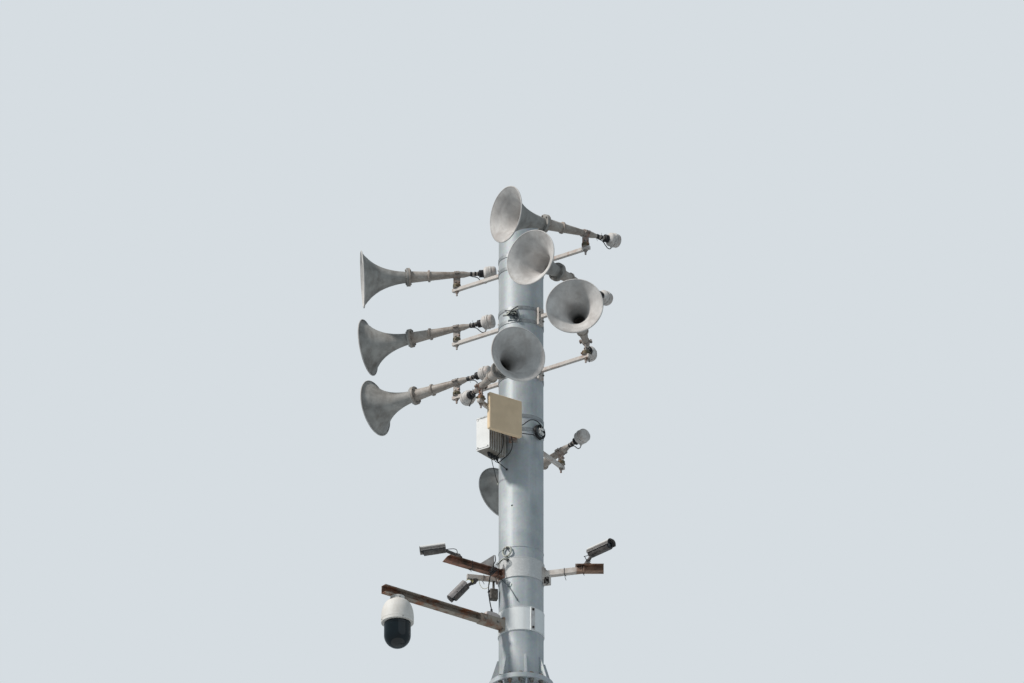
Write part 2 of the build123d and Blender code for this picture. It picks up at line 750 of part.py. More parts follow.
def make_dome_camera():
    """Dome camera: the white housing that hangs from its arm and the dark ball that turns in it."""
    top = dome_band_height - dome_arm_drop - dome_arm_depth / 2 - seat_gap
    center = direction(dome_arm_azimuth) * (dome_arm_reach - dome_tip_gap)
    cap_top = top - dome_neck_height
    cap_bottom = cap_top - dome_cap_height
    cap_radius = dome_cap_diameter / 2
    upright = Plane(origin=center, x_dir=direction(dome_arm_azimuth), z_dir=direction(dome_arm_azimuth - 90))
    axis = Axis(center, (0, 0, 1))
    with BuildPart() as housing:
        with BuildSketch(upright):
            with BuildLine():
                Line((0, top), (dome_neck_diameter / 2, top))
                Line((dome_neck_diameter / 2, top), (dome_neck_diameter / 2, cap_top))
                EllipticalCenterArc(
                    (dome_neck_diameter / 2, cap_top - dome_cap_shoulder),
                    cap_radius - dome_neck_diameter / 2,
                    dome_cap_shoulder,
                    start_angle=0,
                    arc_size=right_angle,
                )
                Line((cap_radius, cap_top - dome_cap_shoulder), (cap_radius, cap_bottom))
                Line((cap_radius, cap_bottom), (0, cap_bottom))
                Line((0, cap_bottom), (0, top))
            make_face()
        revolve(axis=axis)
    write(housing, "dome_housing")

    ball_top = cap_bottom - seat_gap
    ball_radius = dome_ball_diameter / 2
    with BuildPart() as ball:
        with BuildSketch(upright):
            with BuildLine():
                Line((0, ball_top), (ball_radius, ball_top))
                Line((ball_radius, ball_top), (ball_radius, ball_top - dome_ball_skirt))
                RadiusArc(
                    (ball_radius, ball_top - dome_ball_skirt),
                    (0, ball_top - dome_ball_skirt - ball_radius),
                    ball_radius,
                )
                Line((0, ball_top - dome_ball_skirt - ball_radius), (0, ball_top))
            make_face()
        revolve(axis=axis)
    write(ball, "dome_ball")


def make_panel():
    """Flat antenna in front of the mast and the stand-off arm behind it."""
    normal = direction(panel_azimuth)
    middle = Vector(*panel_center, lowest_horn_height - panel_drop + panel_height / 2)
    face_plane = Plane(origin=middle, x_dir=direction(panel_azimuth + 90), z_dir=normal)
    with BuildPart() as panel:
        with BuildSketch(face_plane):
            RectangleRounded(panel_size, panel_height, panel_corner)
        extrude(amount=-panel_thickness)
        chamfer(panel.faces().sort_by(Axis((0, 0, 0), normal))[-1].edges(), panel_thickness / 6)
    write(panel, "panel_antenna")

    arm_height = lowest_horn_height - panel_arm_drop
    plate_point = Vector(*panel_center, arm_height) - normal * panel_thickness
    plate_face = Plane(origin=plate_point, x_dir=direction(panel_azimuth + 90), z_dir=normal)
    arm_end = (Vector(plate_point.X, plate_point.Y, 0)).length
    with BuildPart() as panel_arm:
        with BuildSketch(level_plane(panel_arm_azimuth, arm_height - panel_saddle_height / 2)):
            with Locations((pole_radius, 0)):
                Rectangle(2 * saddle_depth, saddle_width)
            Circle(wrap_radius, mode=Mode.SUBTRACT)
        extrude(amount=panel_saddle_height)
        with BuildSketch(facing_plane(panel_arm_azimuth, arm_height, pole_radius + saddle_depth / 2)):
            Rectangle(panel_arm_section, panel_arm_section)
        extrude(amount=arm_end - pole_radius)
        with BuildSketch(plate_face):
            Rectangle(panel_plate_size, panel_plate_size)
        extrude(amount=-panel_plate_thickness)
        with BuildSketch(plate_face):
            Rectangle(panel_size, panel_size)
        extrude(amount=panel_size, mode=Mode.SUBTRACT)
    write(panel_arm, "panel_arm")


def make_radio_box():
    """White radio box with cooling fins along one side, and the bracket that ties it to the mast."""
    along = direction(box_turn)
    box_bottom = lowest_horn_height - box_drop
    corner = Vector(*box_corner, box_bottom)
    fin_pitch = (box_depth - box_fin_thickness) / box_fin_count
    with BuildPart() as box:
        with BuildSketch(Plane(origin=corner, x_dir=along, z_dir=(0, 0, 1))):
            Rectangle(box_depth, box_width, align=(Align.MIN, Align.MIN))
            for index in range(box_fin_count):
                with Locations((box_fin_thickness + index * fin_pitch, 0)):
                    Rectangle(
                        fin_pitch - box_fin_thickness,
                        box_fin_depth,
                        align=(Align.MIN, Align.MIN),
                        mode=Mode.SUBTRACT,
                    )
        extrude(amount=box_height)
    write(box, "radio_box")

    back = along * box_depth + direction(box_turn + right_angle) * box_width / 2
    bracket_foot = box_bottom + (box_height - box_bracket_height) / 2
    bracket_point = Vector(*box_corner) + back
    with BuildPart() as bracket:
        with BuildSketch(Plane.XY.offset(bracket_foot)):
            with Locations(Location(bracket_point, (0, 0, box_turn))):
                Rectangle(pole_radius, box_bracket_width, align=(Align.MIN, Align.CENTER))
            Circle(wrap_radius, mode=Mode.SUBTRACT)
            with Locations(Location(bracket_point + along * pole_radius / 2, (0, 0, box_turn))):
                Rectangle(pole_radius, 2 * pole_radius, align=(Align.MIN, Align.CENTER), mode=Mode.SUBTRACT)
        extrude(amount=box_bracket_height)
    write(bracket, "radio_box_bracket")


def make_coil(name, hook_name, azimuth, height, radius, thickness):
    """A tied coil of spare cable and the hook on the mast that it hangs on."""
    outward = direction(azimuth)
    side = direction(azimuth + 90)
    coil_center = outward * (wrap_radius + coil_stand_off + thickness / 2) + Vector(0, 0, height)
    with BuildPart() as coil:
        with BuildSketch(Plane(origin=coil_center, x_dir=(0, 0, 1), z_dir=side)):
            with Locations((radius, 0)):
                Circle(thickness / 2)
        revolve(axis=Axis(coil_center, outward))
    write(coil, name)

    hook_rise = radius - thickness / 2 - coil_hook_diameter / 2 - seat_gap
    hook_height = height + hook_rise
    hook_reach = wrap_radius + coil_stand_off + thickness + coil_hook_diameter
    with BuildPart() as hook:
        with BuildSketch(facing_plane(azimuth, hook_height, pole_radius - pole_wall / 2)):
            Circle(coil_hook_diameter / 2)
        extrude(amount=hook_reach - pole_radius + pole_wall / 2)
        with BuildSketch(Plane.XY.offset(hook_height - coil_hook_diameter)):
            Circle(wrap_radius)
        extrude(amount=2 * coil_hook_diameter, mode=Mode.SUBTRACT)
    write(hook, hook_name)


def make_coils():
    """The black coil beside the flat antenna and the pale one above the left camera arm."""
    make_coil(
        "cable_coil", "coil_hook", black_coil_azimuth, lowest_horn_height - black_coil_drop,
        black_coil_radius, black_coil_thickness,
    )
    make_coil(
        "pale_coil", "pale_coil_hook", pale_coil_azimuth, camera_band_height + pale_coil_rise,
        pale_coil_radius, pale_coil_thickness,
    )


os.makedirs("parts", exist_ok=True)
make_mast()
make_horn_arms()
make_straps()
for level, names in enumerate(horn_levels):
    for name in names:
        make_horn(name, horn_arm_height(level, name))
make_band("camera_band", camera_band_height, camera_band_width, camera_band_splits, ())
make_band("dome_band", dome_band_height, dome_band_width, dome_band_splits, (band_plate_azimuth,))
make_left_arm()
make_middle_arm()
make_right_arm()
make_cameras()
make_dome_arm()
make_dome_camera()
make_panel()
make_radio_box()
make_coils()
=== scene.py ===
"""Looks of the siren mast: finishes, fasteners, cables, fine forms, light and camera, in metres."""
import json
import math
import random

import bpy
from mathutils import Matrix, Vector

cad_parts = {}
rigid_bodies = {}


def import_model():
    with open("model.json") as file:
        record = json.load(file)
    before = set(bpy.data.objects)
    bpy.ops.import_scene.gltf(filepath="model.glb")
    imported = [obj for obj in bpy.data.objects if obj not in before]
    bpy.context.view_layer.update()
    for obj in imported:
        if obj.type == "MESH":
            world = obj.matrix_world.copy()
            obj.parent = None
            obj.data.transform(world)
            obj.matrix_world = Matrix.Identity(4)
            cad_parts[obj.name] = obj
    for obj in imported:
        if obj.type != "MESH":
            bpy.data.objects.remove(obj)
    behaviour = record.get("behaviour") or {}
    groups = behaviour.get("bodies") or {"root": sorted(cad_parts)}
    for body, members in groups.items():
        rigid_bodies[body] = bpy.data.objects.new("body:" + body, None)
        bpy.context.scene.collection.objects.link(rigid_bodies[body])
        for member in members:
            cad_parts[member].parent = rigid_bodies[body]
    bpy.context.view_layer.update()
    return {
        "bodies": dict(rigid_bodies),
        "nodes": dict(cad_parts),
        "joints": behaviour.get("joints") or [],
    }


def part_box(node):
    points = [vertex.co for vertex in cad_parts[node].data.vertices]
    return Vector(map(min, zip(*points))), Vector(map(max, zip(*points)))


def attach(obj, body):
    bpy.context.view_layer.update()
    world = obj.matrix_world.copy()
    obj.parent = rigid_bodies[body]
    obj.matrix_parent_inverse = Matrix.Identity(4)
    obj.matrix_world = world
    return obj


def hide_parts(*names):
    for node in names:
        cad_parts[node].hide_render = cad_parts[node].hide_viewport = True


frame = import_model()
joints = {joint["name"]: joint for joint in frame["joints"]}
HORNS = [name[5:] for name in frame["bodies"] if name.startswith("horn_")]

# ---- sizes shared with the frame, in metres and degrees ----
POLE_RADIUS = 0.190
AXIS_HEIGHT = 0.142
MOUTH_REACH = 0.812
BELL_LENGTH = 0.396
BELL_MOUTH = 0.247
BELL_THROAT = 0.051
BELL_WALL = 0.003
BELL_BACK = MOUTH_REACH - BELL_LENGTH
COLLAR_RADIUS = 0.080
COLLAR_THICK = 0.016
COLLAR_BOLT_REACH = 0.067
RIM_RADIUS = 0.0055
NECK_RADIUS = 0.017
NECK_START = -0.111
NECK_END = 0.190
DRIVER_RADIUS = 0.059
DRIVER_BAND_RADIUS = 0.063
DRIVER_LENGTH = 0.112
THROAT_RING_LENGTH = 0.038
THROAT_RING_RADIUS = 0.033
DRIVER_FRONT = -NECK_END - THROAT_RING_LENGTH
RING_MIDDLE = 0.238
RING_HALF = 0.009
RING_RADIUS = 0.052
RING_TUBE_RADIUS = 0.040
CLAMP_TUBE_RADIUS = 0.028
CLAMP_END = 0.055
CLAMP_LUG_DROP = 0.070
KNUCKLE_RADIUS = 0.032
KNUCKLE_HEIGHT = 0.034
ARM_SECTION = 0.032
ARM_REACH = 0.725
ARM_DROPS = {"4_back": 0.058}
SADDLE_FACE = POLE_RADIUS + 0.024

FLANGE_THICK = 0.020
FLANGE_BOLT_CIRCLE = 0.238
FLANGE_BOLTS = 16
RIB_TURN = -80.0
BASE_SEAM_DROP = 0.26
SEAM_RISE = 1.219
SEAM_LENGTH = 3.6
STRAP_OFFSET = 0.060
BUCKLE_AZIMUTH = 92.0
CLAMP_AZIMUTH = 249.0
BAND_RADIUS = 0.1963
EAR_BOLT_REACH = 0.213
EAR_HALF = 0.017
COVER_AZIMUTH = 299.0
COVER_REACH = 0.2043
COVER_THICK = 0.004
ROOT_PLATE_FACE = 0.2126
LEFT_ARM = 215.4
LEFT_ARM_DROP = 0.040
MIDDLE_ARM = 194.0
MIDDLE_ARM_DROP = 0.061
RIGHT_ARM = -15.6
RIGHT_ARM_DROP = 0.014
BROWN_LENGTH = 0.2319
DOME_ARM = 216.9
DOME_ARM_DROP = 0.036
SLEEVE_HALF = 0.035
GUSSET_HEIGHT = 0.125
SEAT_GAP = 0.0003
CAMERA_SIZE = 0.078
CAMERA_CORNER = 0.030
CAMERA_STEM = 0.014
SHIELD_GAP = 0.005
SHIELD_REACH = 0.026
SMALL_CAMERA_REACH = 0.2752
# Of each camera: up or down from its arm; its back's azimuth, reach and height from the foot;
# its length; the azimuth and fall that it looks along.
CAMERAS = {
    "camera_left": (1, (193.0, 0.113, 0.081), 0.188, (182.0, 10.0)),
    "camera_middle": (-1, (188.0, 0.068, 0.050), 0.166, (182.0, 48.0)),
    "camera_right": (1, (-10.0, 0.027, 0.104), 0.240, (-48.0, 0.0)),
}
DOME_RADIUS = 0.138
DOME_NECK = 0.034
DOME_NECK_RADIUS = 0.060
DOME_SHOULDER = 0.160
BALL_RADIUS = 0.113
PANEL_AZIMUTH = -54.0
PANEL_CENTER = (-0.128, -0.508)
PANEL_SIZE = 0.340
PANEL_HEIGHT = 0.336
PANEL_THICK = 0.034
PANEL_PLATE = 0.006
PANEL_PLUGS = (-0.105, -0.035)
PLUG_STAND = 0.014
BOX_TURN = 54.0
BOX_CORNER = (-0.268, -0.377)
BOX_WIDTH = 0.136
BOX_DEPTH = 0.240
BOX_LID = 0.3 * BOX_DEPTH
GLAND_SPOTS = (0.085, 0.125, 0.165, 0.205)
GLAND_LENGTH = 0.026
COIL_TURNS = 6
# Of each coil's cable: the node it stands for, azimuth, radius, diameter, and the radius of its ties.
COILS = {
    "black_coil_cable": ("cable_coil", -41.0, 0.058, 0.0075, 0.0135),
    "pale_coil_cable": ("pale_coil", 234.0, 0.044, 0.0048, 0.0085),
}
BLACK_COIL = COILS["black_coil_cable"][1]
BOX_ENTRY = 181.0
SHORT_ENTRY = 231.0
BUNDLE_AZIMUTH = 235.0
BUNDLE_HEIGHT = 8.704


# ---- places ----
def polar(azimuth, reach=1.0, height=0.0):
    """Point at an azimuth in degrees, a reach from the mast's axis and a height."""
    turn = math.radians(azimuth)
    return Vector((reach * math.cos(turn), reach * math.sin(turn), height))


def rise(height):
    """Upward step."""
    return Vector((0, 0, height))


def lean(azimuth, fall):
    """Unit vector at an azimuth that falls below level by an angle, both in degrees."""
    drop = math.radians(fall)
    return polar(azimuth, math.cos(drop), -math.sin(drop))


def framed(origin, x, y, z):
    """Place with the given axes."""
    place = Matrix((x, y, z)).transposed().to_4x4()
    place.translation = Vector(origin)
    return place


def facing(origin, outward, up=(0, 0, 1)):
    """Place whose local z axis points outward and whose local y axis points up."""
    z = Vector(outward).normalized()
    x = Vector(up).cross(z)
    if x.length < 1e-6:
        x = Vector((1, 0, 0))
    x.normalize()
    return framed(origin, x, z.cross(x), z)


def off_mast(azimuth, reach, height):
    """Place at a reach from the mast's axis whose local z axis points away from the mast."""
    return facing(polar(azimuth, reach, height), polar(azimuth))


def hanging(origin):
    """Place whose local z axis points down."""
    return facing(origin, (0, 0, -1), (1, 0, 0))


def along_axis(origin, forward):
    """Place whose local x axis points forward and whose local z axis points up."""
    x = Vector(forward).normalized()
    y = Vector((0, 0, 1)).cross(x).normalized()
    return framed(origin, x, y, x.cross(y))


def upright(origin):
    """Place whose local x axis points up, for shapes that are turned about an upright axis."""
    return Matrix.Translation(Vector(origin)) @ Matrix.Rotation(-math.pi / 2, 4, "Y")


def moved(place, x, y, z):
    """Place moved along its own axes."""
    return place @ Matrix.Translation((x, y, z))


def about_x(x, radius, turn):
    """Point round the local x axis, at a turn in radians."""
    return Vector((x, radius * math.cos(turn), radius * math.sin(turn)))


def node_center(node):
    low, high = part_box(node)
    return (Vector(low) + Vector(high)) / 2


def heights(node):
    """Lowest and highest point of a node."""
    low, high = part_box(node)
    return low[2], high[2]


def middle_height(node):
    return sum(heights(node)) / 2


# ---- mesh helpers ----
def disc(radius, count):
    """Corners of an even polygon about the origin."""
    turns = [2 * math.pi * step / count for step in range(count)]
    return [(radius * math.cos(turn), radius * math.sin(turn)) for turn in turns]


def rounded(side, corner, steps=6):
    """Outline of a square with round corners about the origin."""
    outline = []
    for turn, right, up in ((0, 1, 1), (90, -1, 1), (180, -1, -1), (270, 1, -1)):
        for step in range(steps + 1):
            angle = math.radians(turn + 90 * step / steps)
            x = right * (side / 2 - corner) + corner * math.cos(angle)
            y = up * (side / 2 - corner) + corner * math.sin(angle)
            outline.append((x, y))
    return outline


def smooth_path(points, steps=6):
    """Points along a smooth curve through the given ones."""
    points = [Vector(point) for point in points]
    path = []
    for before, here, after, beyond in zip(points[:1] + points, points, points[1:], points[2:] + points[-1:]):
        bend = 2 * before - 5 * here + 4 * after - beyond
        twist = 3 * here - before - 3 * after + beyond
        for step in range(steps):
            share = step / steps
            path.append(here + 0.5 * share * (after - before + share * (bend + share * twist)))
    path.append(points[-1])
    return path


class Shape:
    """Collects the points and faces of one piece."""

    def __init__(self):
        self.verts = []
        self.faces = []

    def skin(self, rings, place=None, joined=False):
        """Joins rings of equal count, and closes both ends or joins the last ring to the first."""
        start = len(self.verts)
        count = len(rings[0])
        self.verts += [place @ Vector(point) if place else Vector(point) for ring in rings for point in ring]
        for ring in range(len(rings) if joined else len(rings) - 1):
            low = start + ring * count
            high = start + (ring + 1) % len(rings) * count
            for step in range(count):
                after = (step + 1) % count
                self.faces.append((low + step, low + after, high + after, high + step))
        if not joined:
            last = start + (len(rings) - 1) * count
            self.faces.append(tuple(reversed(range(start, start + count))))
            self.faces.append(tuple(range(last, last + count)))

    def loft(self, rings, place=None):
        """A bar along the local z axis through outlines of equal count, given as (z, points)."""
        self.skin([[(x, y, z) for x, y in outline] for z, outline in rings], place)

    def lathe(self, profile, place=None, count=48, joined=False):
        """Turns an (x, radius) outline about the local x axis."""
        self.skin([[(x, y, z) for y, z in disc(radius, count)] for x, radius in profile], place, joined)

    def hoop(self, place, radius, thick, count=96, around=8):
        """A round ring of wire or weld about the local z axis."""
        rings = [[(x, y, z) for x, y in disc(radius + out, count)] for out, z in disc(thick, around)]
        self.skin(rings, place, True)

    def tube(self, points, radius, count=8):
        """A round bar along a list of points."""
        points = [Vector(point) for point in points]
        side = (points[1] - points[0]).normalized().orthogonal().normalized()
        rings = []
        for index, point in enumerate(points):
            along = (points[min(index + 1, len(points) - 1)] - points[max(index - 1, 0)]).normalized()
            side = (side - along * side.dot(along)).normalized()
            other = along.cross(side)
            rings.append([point + side * y + other * z for y, z in disc(radius, count)])
        self.skin(rings)

    def frame(self, place, wide, tall, lift, radius, count=8):
        """A round bar round a rectangle of half a width and half a height, lifted off the local plane."""
        corners = ((-wide, -tall), (wide, -tall), (wide, tall), (-wide, tall), (-wide, -tall))
        self.tube([place @ Vector((x, y, lift)) for x, y in corners], radius, count)

    def box(self, low, high, place, cut):
        """A box with its upright edges and rims cut by a small bevel."""
        (x0, y0, z0), (x1, y1, z1) = low, high
        outline = [
            (x0 + cut, y0), (x1 - cut, y0), (x1, y0 + cut), (x1, y1 - cut),
            (x1 - cut, y1), (x0 + cut, y1), (x0, y1 - cut), (x0, y0 + cut),
        ]
        center = ((x0 + x1) / 2, (y0 + y1) / 2)
        inset = [
            tuple(c + (p - c) * (1 - cut / max(abs(p - c), cut * 2)) for p, c in zip(point, center))
            for point in outline
        ]
        self.loft([(z0, inset), (z0 + cut, outline), (z1 - cut, outline), (z1, inset)], place)

    def rod(self, place, radius, low, high, count=16):
        """A round bar along the local z axis with chamfered ends."""
        cut = min(radius * 0.3, (high - low) * 0.2)
        rows = ((low, radius - cut), (low + cut, radius), (high - cut, radius), (high, radius - cut))
        self.loft([(z, disc(reach, count)) for z, reach in rows], place)

    def hex_head(self, place, across, height):
        """A hexagonal head along the local z axis, with its top corners cut."""
        reach = across / math.sqrt(3)
        rows = ((0.0, reach), (height * 0.8, reach), (height, reach * 0.86))
        self.loft([(z, disc(radius, 6)) for z, radius in rows], place)

    def bolt(self, place, across, head, washer=True):
        """A bolt head at the local origin, on a washer."""
        washer_thick = head * 0.22
        if washer:
            self.rod(place, across * 0.62, 0.0, washer_thick, 20)
        self.hex_head(moved(place, 0, 0, washer_thick), across, head)

    def through_bolt(self, place, across, head, radius, length):
        """A bolt head on a washer, with its shank running down from the local origin."""
        self.bolt(place, across, head)
        self.rod(place, radius, -length, 0.0, 12)

    def made(self, name, angle):
        """The mesh object, with edges sharper than the angle kept crisp."""
        mesh = bpy.data.meshes.new(name)
        mesh.from_pydata([tuple(v) for v in self.verts], [], self.faces)
        mesh.update()
        mesh.polygons.foreach_set("use_smooth", [True] * len(mesh.polygons))
        mesh.set_sharp_from_angle(angle=math.radians(angle))
        piece = bpy.data.objects.new(name, mesh)
        bpy.context.scene.collection.objects.link(piece)
        return piece

    def piece(self, name, body, slot, finish, *replaced, angle=40, place=None):
        """The finished piece, which rides on a body."""
        piece = self.made(name, angle)
        if place:
            piece.matrix_world = place
        return settle(piece, body, finish, replaced)


def settle(piece, body, finish, replaced):
    """Gives a piece its finish and its body, and hides the nodes that it stands for."""
    piece.data.materials.append(MAT[finish])
    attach(piece, body)
    if replaced:
        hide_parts(*replaced)
    return piece


def cable(name, points, diameter, finish="cable", body="root", replaced=()):
    """A cable as one smooth curve with the given control points."""
    line = bpy.data.curves.new(name, "CURVE")
    line.dimensions = "3D"
    line.resolution_u = 8
    spline = line.splines.new("NURBS")
    spline.points.add(len(points) - 1)
    for point, place in zip(spline.points, points):
        point.co = (*place, 1.0)
    spline.order_u = 3
    spline.use_endpoint_u = True
    piece = bpy.data.objects.new(name, line)
    bpy.context.scene.collection.objects.link(piece)
    route = bpy.data.meshes.new_from_object(piece)
    bpy.data.meshes.remove(route)
    line.bevel_depth = diameter / 2
    line.bevel_resolution = 3
    line.use_fill_caps = True
    settle(piece, body, finish, replaced)


# ---- materials ----
def srgb(red, green, blue):
    """A colour written in the 0 to 255 display scale, as linear values."""
    out = []
    for part in (red, green, blue):
        share = part / 255
        out.append(share / 12.92 if share <= 0.04045 else ((share + 0.055) / 1.055) ** 2.4)
    return (*out, 1.0)


class Finish:
    """Short forms for the nodes of one material. Colours are display triples or outputs of other nodes."""

    def __init__(self, name):
        self.material = bpy.data.materials.new(name)
        self.material.use_nodes = True
        self.tree = self.material.node_tree
        self.shader = self.tree.nodes["Principled BSDF"]
        self.coords = self.add("TexCoord", {}, "Object")

    def add(self, kind, inputs, output, **settings):
        """Adds a node whose inputs are values or outputs of other nodes."""
        node = self.tree.nodes.new("ShaderNode" + kind)
        for key, value in settings.items():
            setattr(node, key, value)
        for key, value in inputs.items():
            if isinstance(value, bpy.types.NodeSocket):
                self.tree.links.new(value, node.inputs[key])
            else:
                node.inputs[key].default_value = value
        return node.outputs[output]

    def mapped(self, scale=(1, 1, 1), offset=(0, 0, 0)):
        return self.add("Mapping", {"Vector": self.coords, "Scale": scale, "Location": offset}, "Vector")

    def noise(self, vector, scale, detail=4.0, rough=0.6):
        inputs = {"Vector": vector, "Scale": scale, "Detail": detail, "Roughness": rough}
        return self.add("TexNoise", inputs, "Fac")

    def ramp(self, value, low, high, start=0.0, end=1.0):
        """Maps a value range onto another, held at its ends."""
        inputs = {"Value": value, "From Min": low, "From Max": high, "To Min": start, "To Max": end}
        return self.add("MapRange", inputs, "Result")

    def math(self, kind, a, b):
        return self.add("Math", {0: a, 1: b}, "Value", operation=kind)

    def axis(self, vector, name):
        return self.add("SeparateXYZ", {0: vector}, name)

    def mix(self, share, a, b, blend="MIX"):
        a, b = (srgb(*color) if isinstance(color, tuple) else color for color in (a, b))
        return self.add("Mix", {0: share, 6: a, 7: b}, 2, data_type="RGBA", blend_type=blend)

    def blend(self, value, low, high, a, b):
        """Goes from one colour to the other as a value goes from low to high."""
        return self.mix(self.ramp(value, low, high), a, b)

    def tint(self, color, value, low, high, most, shade):
        """Lays up to most of a shade over a colour as a value goes from low to high."""
        return self.mix(self.ramp(value, low, high, 0.0, most), color, shade)

    def done(self, color, rough, bump, metallic=0.0, coat=0.0):
        """The material, from its colour, its roughness as (value, least, most) and its bump as
        (height, strength, distance)."""
        value, least, most = rough
        height, strength, distance = bump
        normal = self.add("Bump", {"Height": height, "Strength": strength, "Distance": distance}, "Normal")
        roughness = self.ramp(value, 0.3, 0.7, least, most)
        for name, out in (("Base Color", color), ("Roughness", roughness), ("Normal", normal)):
            self.tree.links.new(out, self.shader.inputs[name])
        self.shader.inputs["Metallic"].default_value = metallic
        self.shader.inputs["Coat Weight"].default_value = coat
        return self.material


RUST = (150, 98, 68)
RUST_DARK = (98, 74, 62)
DIRT = (104, 98, 92)


def weathered(name, base, dark, light, metallic=0.0, rough=0.6, patch=2.0, speck=45.0,
              streak=0.35, streak_color=DIRT, rust=0.0):
    """Painted or galvanised metal: soft patches, fine specks, streaks that run down, and spots of rust."""
    look = Finish(name)
    plain = look.mapped()
    large = look.noise(plain, patch, 5.0, 0.55)
    fine = look.noise(plain, speck, 6.0, 0.7)
    runs = look.noise(look.mapped((14.0, 14.0, 0.9)), 1.0)
    color = look.blend(large, 0.36, 0.64, dark, base)
    color = look.tint(color, fine, 0.48, 0.72, 0.55, light)
    color = look.tint(color, fine, 0.42, 0.30, 0.45, dark)
    color = look.tint(color, runs, 0.52, 0.74, streak, streak_color)
    if rust > 0:
        spots = look.noise(look.mapped(offset=(5, 0, 0)), 18.0, 6.0, 0.65)
        gate = look.ramp(look.noise(plain, 1.6, 3.0), 0.40, 0.66)
        amount = look.math("MULTIPLY", look.ramp(spots, 0.62 - rust * 0.2, 0.74 - rust * 0.2), gate)
        color = look.mix(amount, color, RUST)
    return look.done(color, (large, rough - 0.1, rough + 0.12), (fine, 0.25, 0.0015), metallic)


def galvanised(name):
    """Old hot-dip zinc on the mast: mottled spangle, pale bloom, faint runs."""
    look = Finish(name)
    plain = look.mapped()
    spangle = look.add("TexVoronoi", {"Vector": plain, "Scale": 55.0}, "Color")
    cloud = look.noise(plain, 2.4, 6.0)
    fine = look.noise(plain, 60.0, 5.0, 0.7)
    runs = look.noise(look.mapped((9.0, 9.0, 0.35)), 1.0, 5.0)
    color = look.blend(cloud, 0.34, 0.66, (158, 166, 170), (196, 200, 202))
    color = look.mix(0.10, color, spangle, "SOFT_LIGHT")
    color = look.tint(color, runs, 0.52, 0.76, 0.45, (150, 150, 148))
    color = look.tint(color, runs, 0.46, 0.28, 0.4, (214, 216, 216))
    color = look.tint(color, fine, 0.60, 0.78, 0.5, (128, 128, 126))
    return look.done(color, (cloud, 0.48, 0.66), (look.math("ADD", fine, runs), 0.15, 0.001), 0.25)


def rusty(name, paint):
    """Bare steel whose old paint has gone to layered rust, with a little of the paint left."""
    look = Finish(name)
    plain = look.mapped()
    large = look.noise(plain, 5.0, 6.0, 0.62)
    fine = look.noise(plain, 70.0, 6.0, 0.7)
    left = look.noise(look.mapped(offset=(3, 1, 2)), 9.0, 5.0)
    color = look.blend(large, 0.40, 0.60, RUST_DARK, RUST)
    color = look.tint(color, fine, 0.45, 0.7, 0.6, (150, 104, 78))
    color = look.blend(left, 0.386, 0.536, color, paint)
    return look.done(color, (fine, 0.7, 0.95), (fine, 0.5, 0.002))


def shield_painted_light(name, top, side):
    """A sun shield whose top is painted pale as lit and whose sides are painted dark as shade."""
    look = Finish(name)
    fine = look.noise(look.mapped(), 80.0, 5.0, 0.7)
    # painted light and shade: faces that look up get the pale top colour, upright sides the dark side colour
    upward = look.axis(look.add("NewGeometry", {}, "Normal"), "Z")
    edge = look.math("ADD", upward, look.ramp(fine, 0.3, 0.7, -0.12, 0.12))
    color = look.blend(edge, 0.10, 0.55, side, top)
    color = look.tint(color, fine, 0.50, 0.72, 0.35, (160, 154, 148))
    return look.done(color, (fine, 0.42, 0.62), (fine, 0.2, 0.001))


def two_part(name, axis, change, half, first, second):
    """Old paint that changes at one place along an axis, with rust spots and streaks in both lengths."""
    look = Finish(name)
    plain = look.mapped()
    large = look.noise(plain, 9.0, 6.0, 0.62)
    fine = look.noise(plain, 70.0, 6.0, 0.7)
    place = look.math("ADD", look.axis(look.coords, axis), look.ramp(large, 0.3, 0.7, -0.006, 0.006))
    lengths = [look.blend(large, 0.40, 0.60, dark, light) for light, dark in (first, second)]
    color = look.blend(place, change - half, change + half, *lengths)
    color = look.tint(color, fine, 0.54, 0.72, 0.55, (150, 122, 104))
    return look.done(color, (fine, 0.6, 0.85), (fine, 0.4, 0.002))


def moulded(name, base, dark, rough, speck=90.0, bump=0.1, coat=0.0):
    """Moulded plastic, rubber or a smooth coat with faint dust."""
    look = Finish(name)
    plain = look.mapped()
    cloud = look.noise(plain, 9.0, 4.0, 0.55)
    fine = look.noise(plain, speck)
    color = look.blend(cloud, 0.36, 0.66, dark, base)
    color = look.tint(color, fine, 0.55, 0.8, 0.3, dark)
    return look.done(color, (cloud, max(rough - 0.05, 0.02), rough + 0.08), (fine, bump, 0.0006), coat=coat)


def bell_finish(name, seed):
    """Weathered grey bell: darker and mottled outside, pale inside, with painted shade that darkens the
    inside towards its throat.
    """
    look = Finish(name)
    plain = look.mapped(offset=(seed, seed * 0.6, seed * 1.7))
    cloud = look.noise(plain, 7.0, 6.0)
    fine = look.noise(plain, 55.0, 6.0, 0.72)
    runs = look.noise(look.mapped((7.0, 7.0, 1.2), (seed, 0, 0)), 2.0, 5.0)
    outside = look.blend(cloud, 0.36, 0.62, (128, 125, 121), (170, 168, 164))
    outside = look.tint(outside, runs, 0.50, 0.72, 0.6, (108, 99, 91))
    outside = look.tint(outside, fine, 0.56, 0.76, 0.5, (196, 194, 190))
    inside = look.blend(cloud, 0.34, 0.64, (174, 170, 167), (212, 209, 206))
    inside = look.tint(inside, runs, 0.52, 0.74, 0.45, (156, 144, 136))
    inside = look.tint(inside, fine, 0.58, 0.80, 0.4, (132, 124, 117))
    # painted shade deep in the bell: the inside goes near black towards its throat
    inside = look.tint(inside, look.axis(look.coords, "X"), 0.52, 0.43, 0.85, (46, 43, 42))
    color = look.mix(look.add("Attribute", {}, "Fac", attribute_name="inside"), outside, inside)
    return look.done(color, (cloud, 0.55, 0.75), (fine, 0.3, 0.0015))


